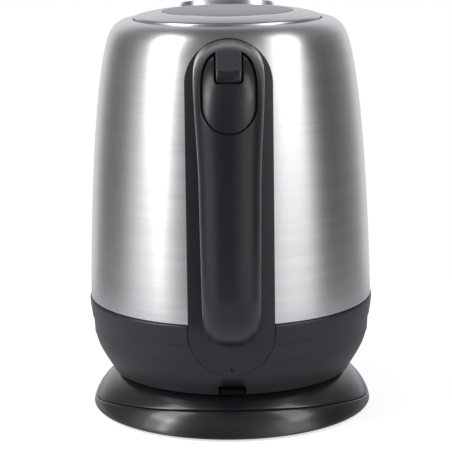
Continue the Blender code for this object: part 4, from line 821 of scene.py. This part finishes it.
def button():
    """Push button: a raised grained face and a polished lip that rolls down to the pad."""
    half_x, half_l, corner = BUTTON_HALF_WIDTH, BUTTON_HALF_LENGTH, BUTTON_CORNER
    across_count = 24
    start, end = -half_l, half_l
    loops = []
    for k in range(61):
        run = start + (end - start) * k / 60
        middle, press = bend_place(run)
        loop = []
        for i in range(across_count + 1):
            u = 2 * i / across_count - 1
            smile = BUTTON_SMILE * (1 - u * u)
            low = start + BUTTON_SMILE - smile
            over = max(0.0, abs(run if run > 0 else run + smile * 0.4) - (half_l - corner))
            width = half_x - corner + sqrt(max(0.0, corner ** 2 - min(over, corner) ** 2))
            lip = min(1.0, max(0.0, (run - low) / BUTTON_LIP))
            side = 1 - max(0.0, (abs(u) - 0.86) / 0.14) ** 2 * 0.30
            back = 1 - max(0.0, (run - end + 1.5 * MM) / (1.5 * MM)) ** 2 * 0.35
            height = (0.10 + 0.90 * sqrt(max(0.0, 1 - (1 - lip) ** 2.2))) * BUTTON_RISE * side * back
            loop.append(middle + Vector((u * width, 0, 0)) - press * (height - 0.35 * MM))
        loop += [middle + Vector((x, 0, 0)) + press * 3.0 * MM for x in (width, -width)]
        loops.append(loop)
    block = skinned("push_button", loops, BUTTON_MATT, smooth_angle=50)
    stands_for(block, "release_button", "release_button")


def hollow_section(station, sunk, wall):
    """Closed outer half of the handle's section, sunk below its surface."""
    half, crown = station[3] - sunk, station[4] - sunk
    skin = half_round(half, crown, 44, CROWN_POWER)
    return across(station, skin + half_round(half - wall, crown - wall, 24)[::-1])


def handle():
    """Hollow outer grip, inner liner and the pad round the button, parted by a shallow groove."""
    line = handle_line()
    outer_loops = [hollow_section(station, 0.0, GRIP_WALL) for station in line]
    sunk_loops = [hollow_section(station, GROOVE_DEPTH, 1.2 * MM) for station in line]
    liner_loops = [across(station, [(x, -0.3 * MM - n) for x, n in half_round(station[3], LINER_DEPTH, 32)])
                   for station in line]
    grip = trimmed(skinned("handle_outer_grip", outer_loops, HANDLE_SATIN))
    liner = trimmed(skinned("handle_inner_grip", liner_loops, HANDLE_SATIN))
    cap = bpy.data.objects.new("handle_button_cap", grip.data.copy())
    bpy.context.scene.collection.objects.link(cap)
    carved(cap, cap_area(-1.25 * MM), "INTERSECT")
    ledge = trimmed(skinned("groove floor", sunk_loops, HANDLE_SATIN))
    carved(ledge, cap_area(-0.1 * MM), "INTERSECT")
    carved(cap, ledge, "UNION")
    carved(grip, cap_area(0.05 * MM))
    for item in (grip, cap):
        carved(item, button_block("opening", 0.9 * MM, 10 * MM, 12 * MM))
    for item in (grip, liner, cap):
        eased(item, 0.35 * MM, 3)
    stands_for(grip, "kettle", "handle_grip")
    stands_for(liner, "kettle", "handle_liner")
    stands_for(cap, "kettle", "handle_cap")


def hugging_plate(name, depth, inset, start=0.5 * MM):
    """Plate round the back of the body with the outline of an upright slot."""
    low, high, half = FRAME_LOW.z + inset, FRAME_HIGH.z - inset, FRAME_HIGH.x - inset
    low_z, high_z = FRAME_LOW.z - 4 * MM, FRAME_HIGH.z + 3 * MM
    inner = hug_line(low_z, high_z, start)
    outer = []
    for i in range(61):
        z = low_z + (high_z - low_z) * i / 60
        near = [shell_radius(z + k * 1.5 * MM) for k in range(-5, 6)] if z < 75 * MM else [shell_radius(z)]
        outer.append((sum(near) / len(near) + 0.5 * MM + depth, z))
    ring = outer + inner[::-1]
    span = asin((FRAME_HIGH.x + 4 * MM) / NECK_RADIUS)
    plate = skinned(name, [round_loop(span * (2 * i / 48 - 1), ring) for i in range(49)], HANDLE_SATIN)
    return carved(plate, prism("outline", stadium(half, low, high, 64), -0.2, -0.02), "INTERSECT")


def back_frame():
    """Long plate behind the handle that hugs the body, with a stepped and rounded rim."""
    plate = eased(hugging_plate("handle_back_frame", 3.5 * MM, 0.0), 0.9 * MM, 4, 50)
    middle = eased(hugging_plate("raised middle", 4.5 * MM, 2.3 * MM, 1.9 * MM), 0.45 * MM, 3, 50)
    carved(plate, middle, "UNION")
    gauge = stadium(GAUGE_HIGH.x + 0.3 * MM, GAUGE_LOW.z - 0.3 * MM, GAUGE_HIGH.z + 0.3 * MM)
    carved(plate, prism("gauge slot", gauge, -0.2, -0.02))
    stands_for(shaded(plate), "kettle", "handle_frame")


def button_coil():
    """Coil under the button, a copy of the CAD spring's shape that rides on the kettle; the real one shortens
    as the button goes in.
    """
    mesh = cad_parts["button_spring"].data.copy()
    mesh.transform(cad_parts["button_spring"].matrix_world)
    mesh.materials.clear()
    mesh.materials.append(SCREW)
    coil = bpy.data.objects.new("button_coil", mesh)
    bpy.context.scene.collection.objects.link(coil)
    stands_for(coil, "kettle", "button_spring")
    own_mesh(coil)


# ---------------------------------------------------------------- other nodes keep their shape
def dress(material, *nodes):
    """Give CAD nodes that keep their own shape a material."""
    for name in nodes:
        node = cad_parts[name]
        node.data.materials.clear()
        node.data.materials.append(material)


def dress_nodes():
    dress(SATIN, "bottom_cover", "mouth_collar", "lid_liner")
    dress(PADDLE_WITH_PAINTED_SHADE, "power_switch")
    dress(DARK, "base_connector", "cord_inlet", "kettle_socket", "spout_filter")
    dress(CONTROL, "control_unit", "latch_bolt", "trip_lever")
    dress(BRASS, "contact_sleeve", "contact_track", "socket_pin", "socket_ring", "bimetal_disc")
    dress(RUBBER, *["rubber_foot_%d" % i for i in (1, 2, 3, 4)])
    dress(SCREW, "hinge_pin", "lid_spring", "switch_pin", "trip_pin", "frame_screw_1", "frame_screw_2",
          *["base_screw_%d" % i for i in (1, 2, 3)], *["bottom_screw_%d" % i for i in (1, 2, 3)])
    dress(STEEL, "heater_plate")
    dress(ALUMINIUM, "heat_spreader")
    dress(SHEATH, "heating_element")
    dress(SILICONE, "steam_tube", "lid_seal")
    dress(GAUGE, "level_window")


# ---------------------------------------------------------------- stage
def pale_floor():
    """Round floor that the camera sees as nearly white."""
    paint = Paint(bpy.data.materials.new("pale floor"))
    seen = paint.node("ShaderNodeLightPath")[0]
    paint.set(Emission_Strength=seen * 0.62 + 0.05)
    paint.fixed(Base_Color=(0.80, 0.81, 0.84, 1.0), Roughness=0.8, Emission_Color=(1.0, 1.0, 1.0, 1.0),
                Specular_IOR_Level=0.0)
    outline = [(0, -0.01 * MM), (FLOOR_RADIUS, -0.01 * MM), (FLOOR_RADIUS, -2 * MM), (0, -2 * MM)]
    turned("floor", outline, paint.owner, 96)


def camera():
    """Long lens, a little above the handle's side."""
    data = bpy.data.cameras.new("camera")
    data.lens = CAMERA_LENS
    data.sensor_width = 36
    data.clip_start = 0.05
    item = bpy.data.objects.new("camera", data)
    bpy.context.scene.collection.objects.link(item)
    turn = Matrix.Rotation(radians(90 - CAMERA_PITCH), 4, "X") @ Matrix.Rotation(radians(CAMERA_ROLL), 4, "Z")
    item.matrix_world = Matrix.Translation(CAMERA_PLACE) @ turn
    bpy.context.scene.camera = item


def stage():
    """Pale round floor, soft studio lights and the camera."""
    pale_floor()
    studio_world()
    soft_light("left_softbox", -63, 1.2, 0.50, (0.58, 0.8), 1.3)
    soft_light("left_strip", -58, 1.15, 0.50, (0.15, 0.7), 5.0)
    soft_light("left_upper", -66, 0.86, 0.86, (0.40, 0.66), 4.2)
    soft_light("right_upper", 64, 0.86, 0.86, (0.40, 0.66), 2.8)
    soft_light("right_softbox", 53, 1.2, 0.50, (0.60, 0.8), 1.1)
    camera()
    bpy.context.scene.view_settings.view_transform = "Standard"


def soft_light(name, azimuth, distance, height, size, radiance):
    """Rectangular light that faces the kettle; azimuth 0 is the handle's side."""
    data = bpy.data.lights.new(name, "AREA")
    data.shape = "RECTANGLE"
    data.size, data.size_y = size
    data.energy = radiance * pi * size[0] * size[1]
    light = bpy.data.objects.new(name, data)
    place = Vector((distance * sin(radians(azimuth)), -distance * cos(radians(azimuth)), height))
    light.location = place
    light.rotation_euler = (Vector((0, 0, 0.12)) - place).to_track_quat("-Z", "Y").to_euler()
    bpy.context.scene.collection.objects.link(light)


# brightness of the room's walls by azimuth in degrees, and of its ceiling by height
WALLS = [(azimuth / 360 + 0.5, level) for azimuth, level in (
    (-180, 0.58), (-162, 0.60), (-149, 0.58), (-139, 0.30), (-126, 0.12), (-100, 0.14), (-90, 0.42),
    (-80, 0.66), (-50, 0.60), (-40, 0.16), (-20, 0.08), (10, 0.08), (28, 0.46), (40, 0.66), (69, 0.66),
    (77, 0.20), (85, 0.06), (104, 0.08), (122, 0.16), (136, 0.28), (148, 0.58), (180, 0.58))]
CEILING = [(0.0, 0.28), (0.70, 0.26), (0.88, 0.14), (1.0, 0.10)]


def studio_world():
    """White room with darker walls to the sides, as a soft band pattern round the horizon."""
    world = bpy.data.worlds.new("studio")
    bpy.context.scene.world = world
    paint = Paint(world)
    way = paint.node("ShaderNodeTexCoord")[0]
    x, y, height = paint.node("ShaderNodeSeparateXYZ", {}, {0: way})
    angle = x.maths("ARCTAN2", y * -1.0) * (1 / tau) + 0.5
    walls = paint.ramp(angle, WALLS)
    ceiling = paint.ramp(height * 0.5 + 0.5, CEILING)
    above = height.between(0.30, 0.80)
    level = walls * (1.0 - above) + ceiling * above
    inputs = {0: (0.96, 0.97, 1.0), "Scale": level * 1.5}
    tint = paint.node("ShaderNodeVectorMath", {"operation": "SCALE"}, inputs)[0]
    seen = paint.node("ShaderNodeLightPath")[0]
    background = paint.tree.nodes["Background"]
    paint.feed(background.inputs["Color"], paint.mixed(seen, tint, (1.0, 1.0, 1.0, 1.0)))
    background.inputs["Strength"].default_value = 1.0


# ---------------------------------------------------------------- the whole scene
kettle_body()
lid_top()
pouring_spout()
kettle_skirt()
power_base()
handle()
button()
back_frame()
button_coil()
dress_nodes()
stage()
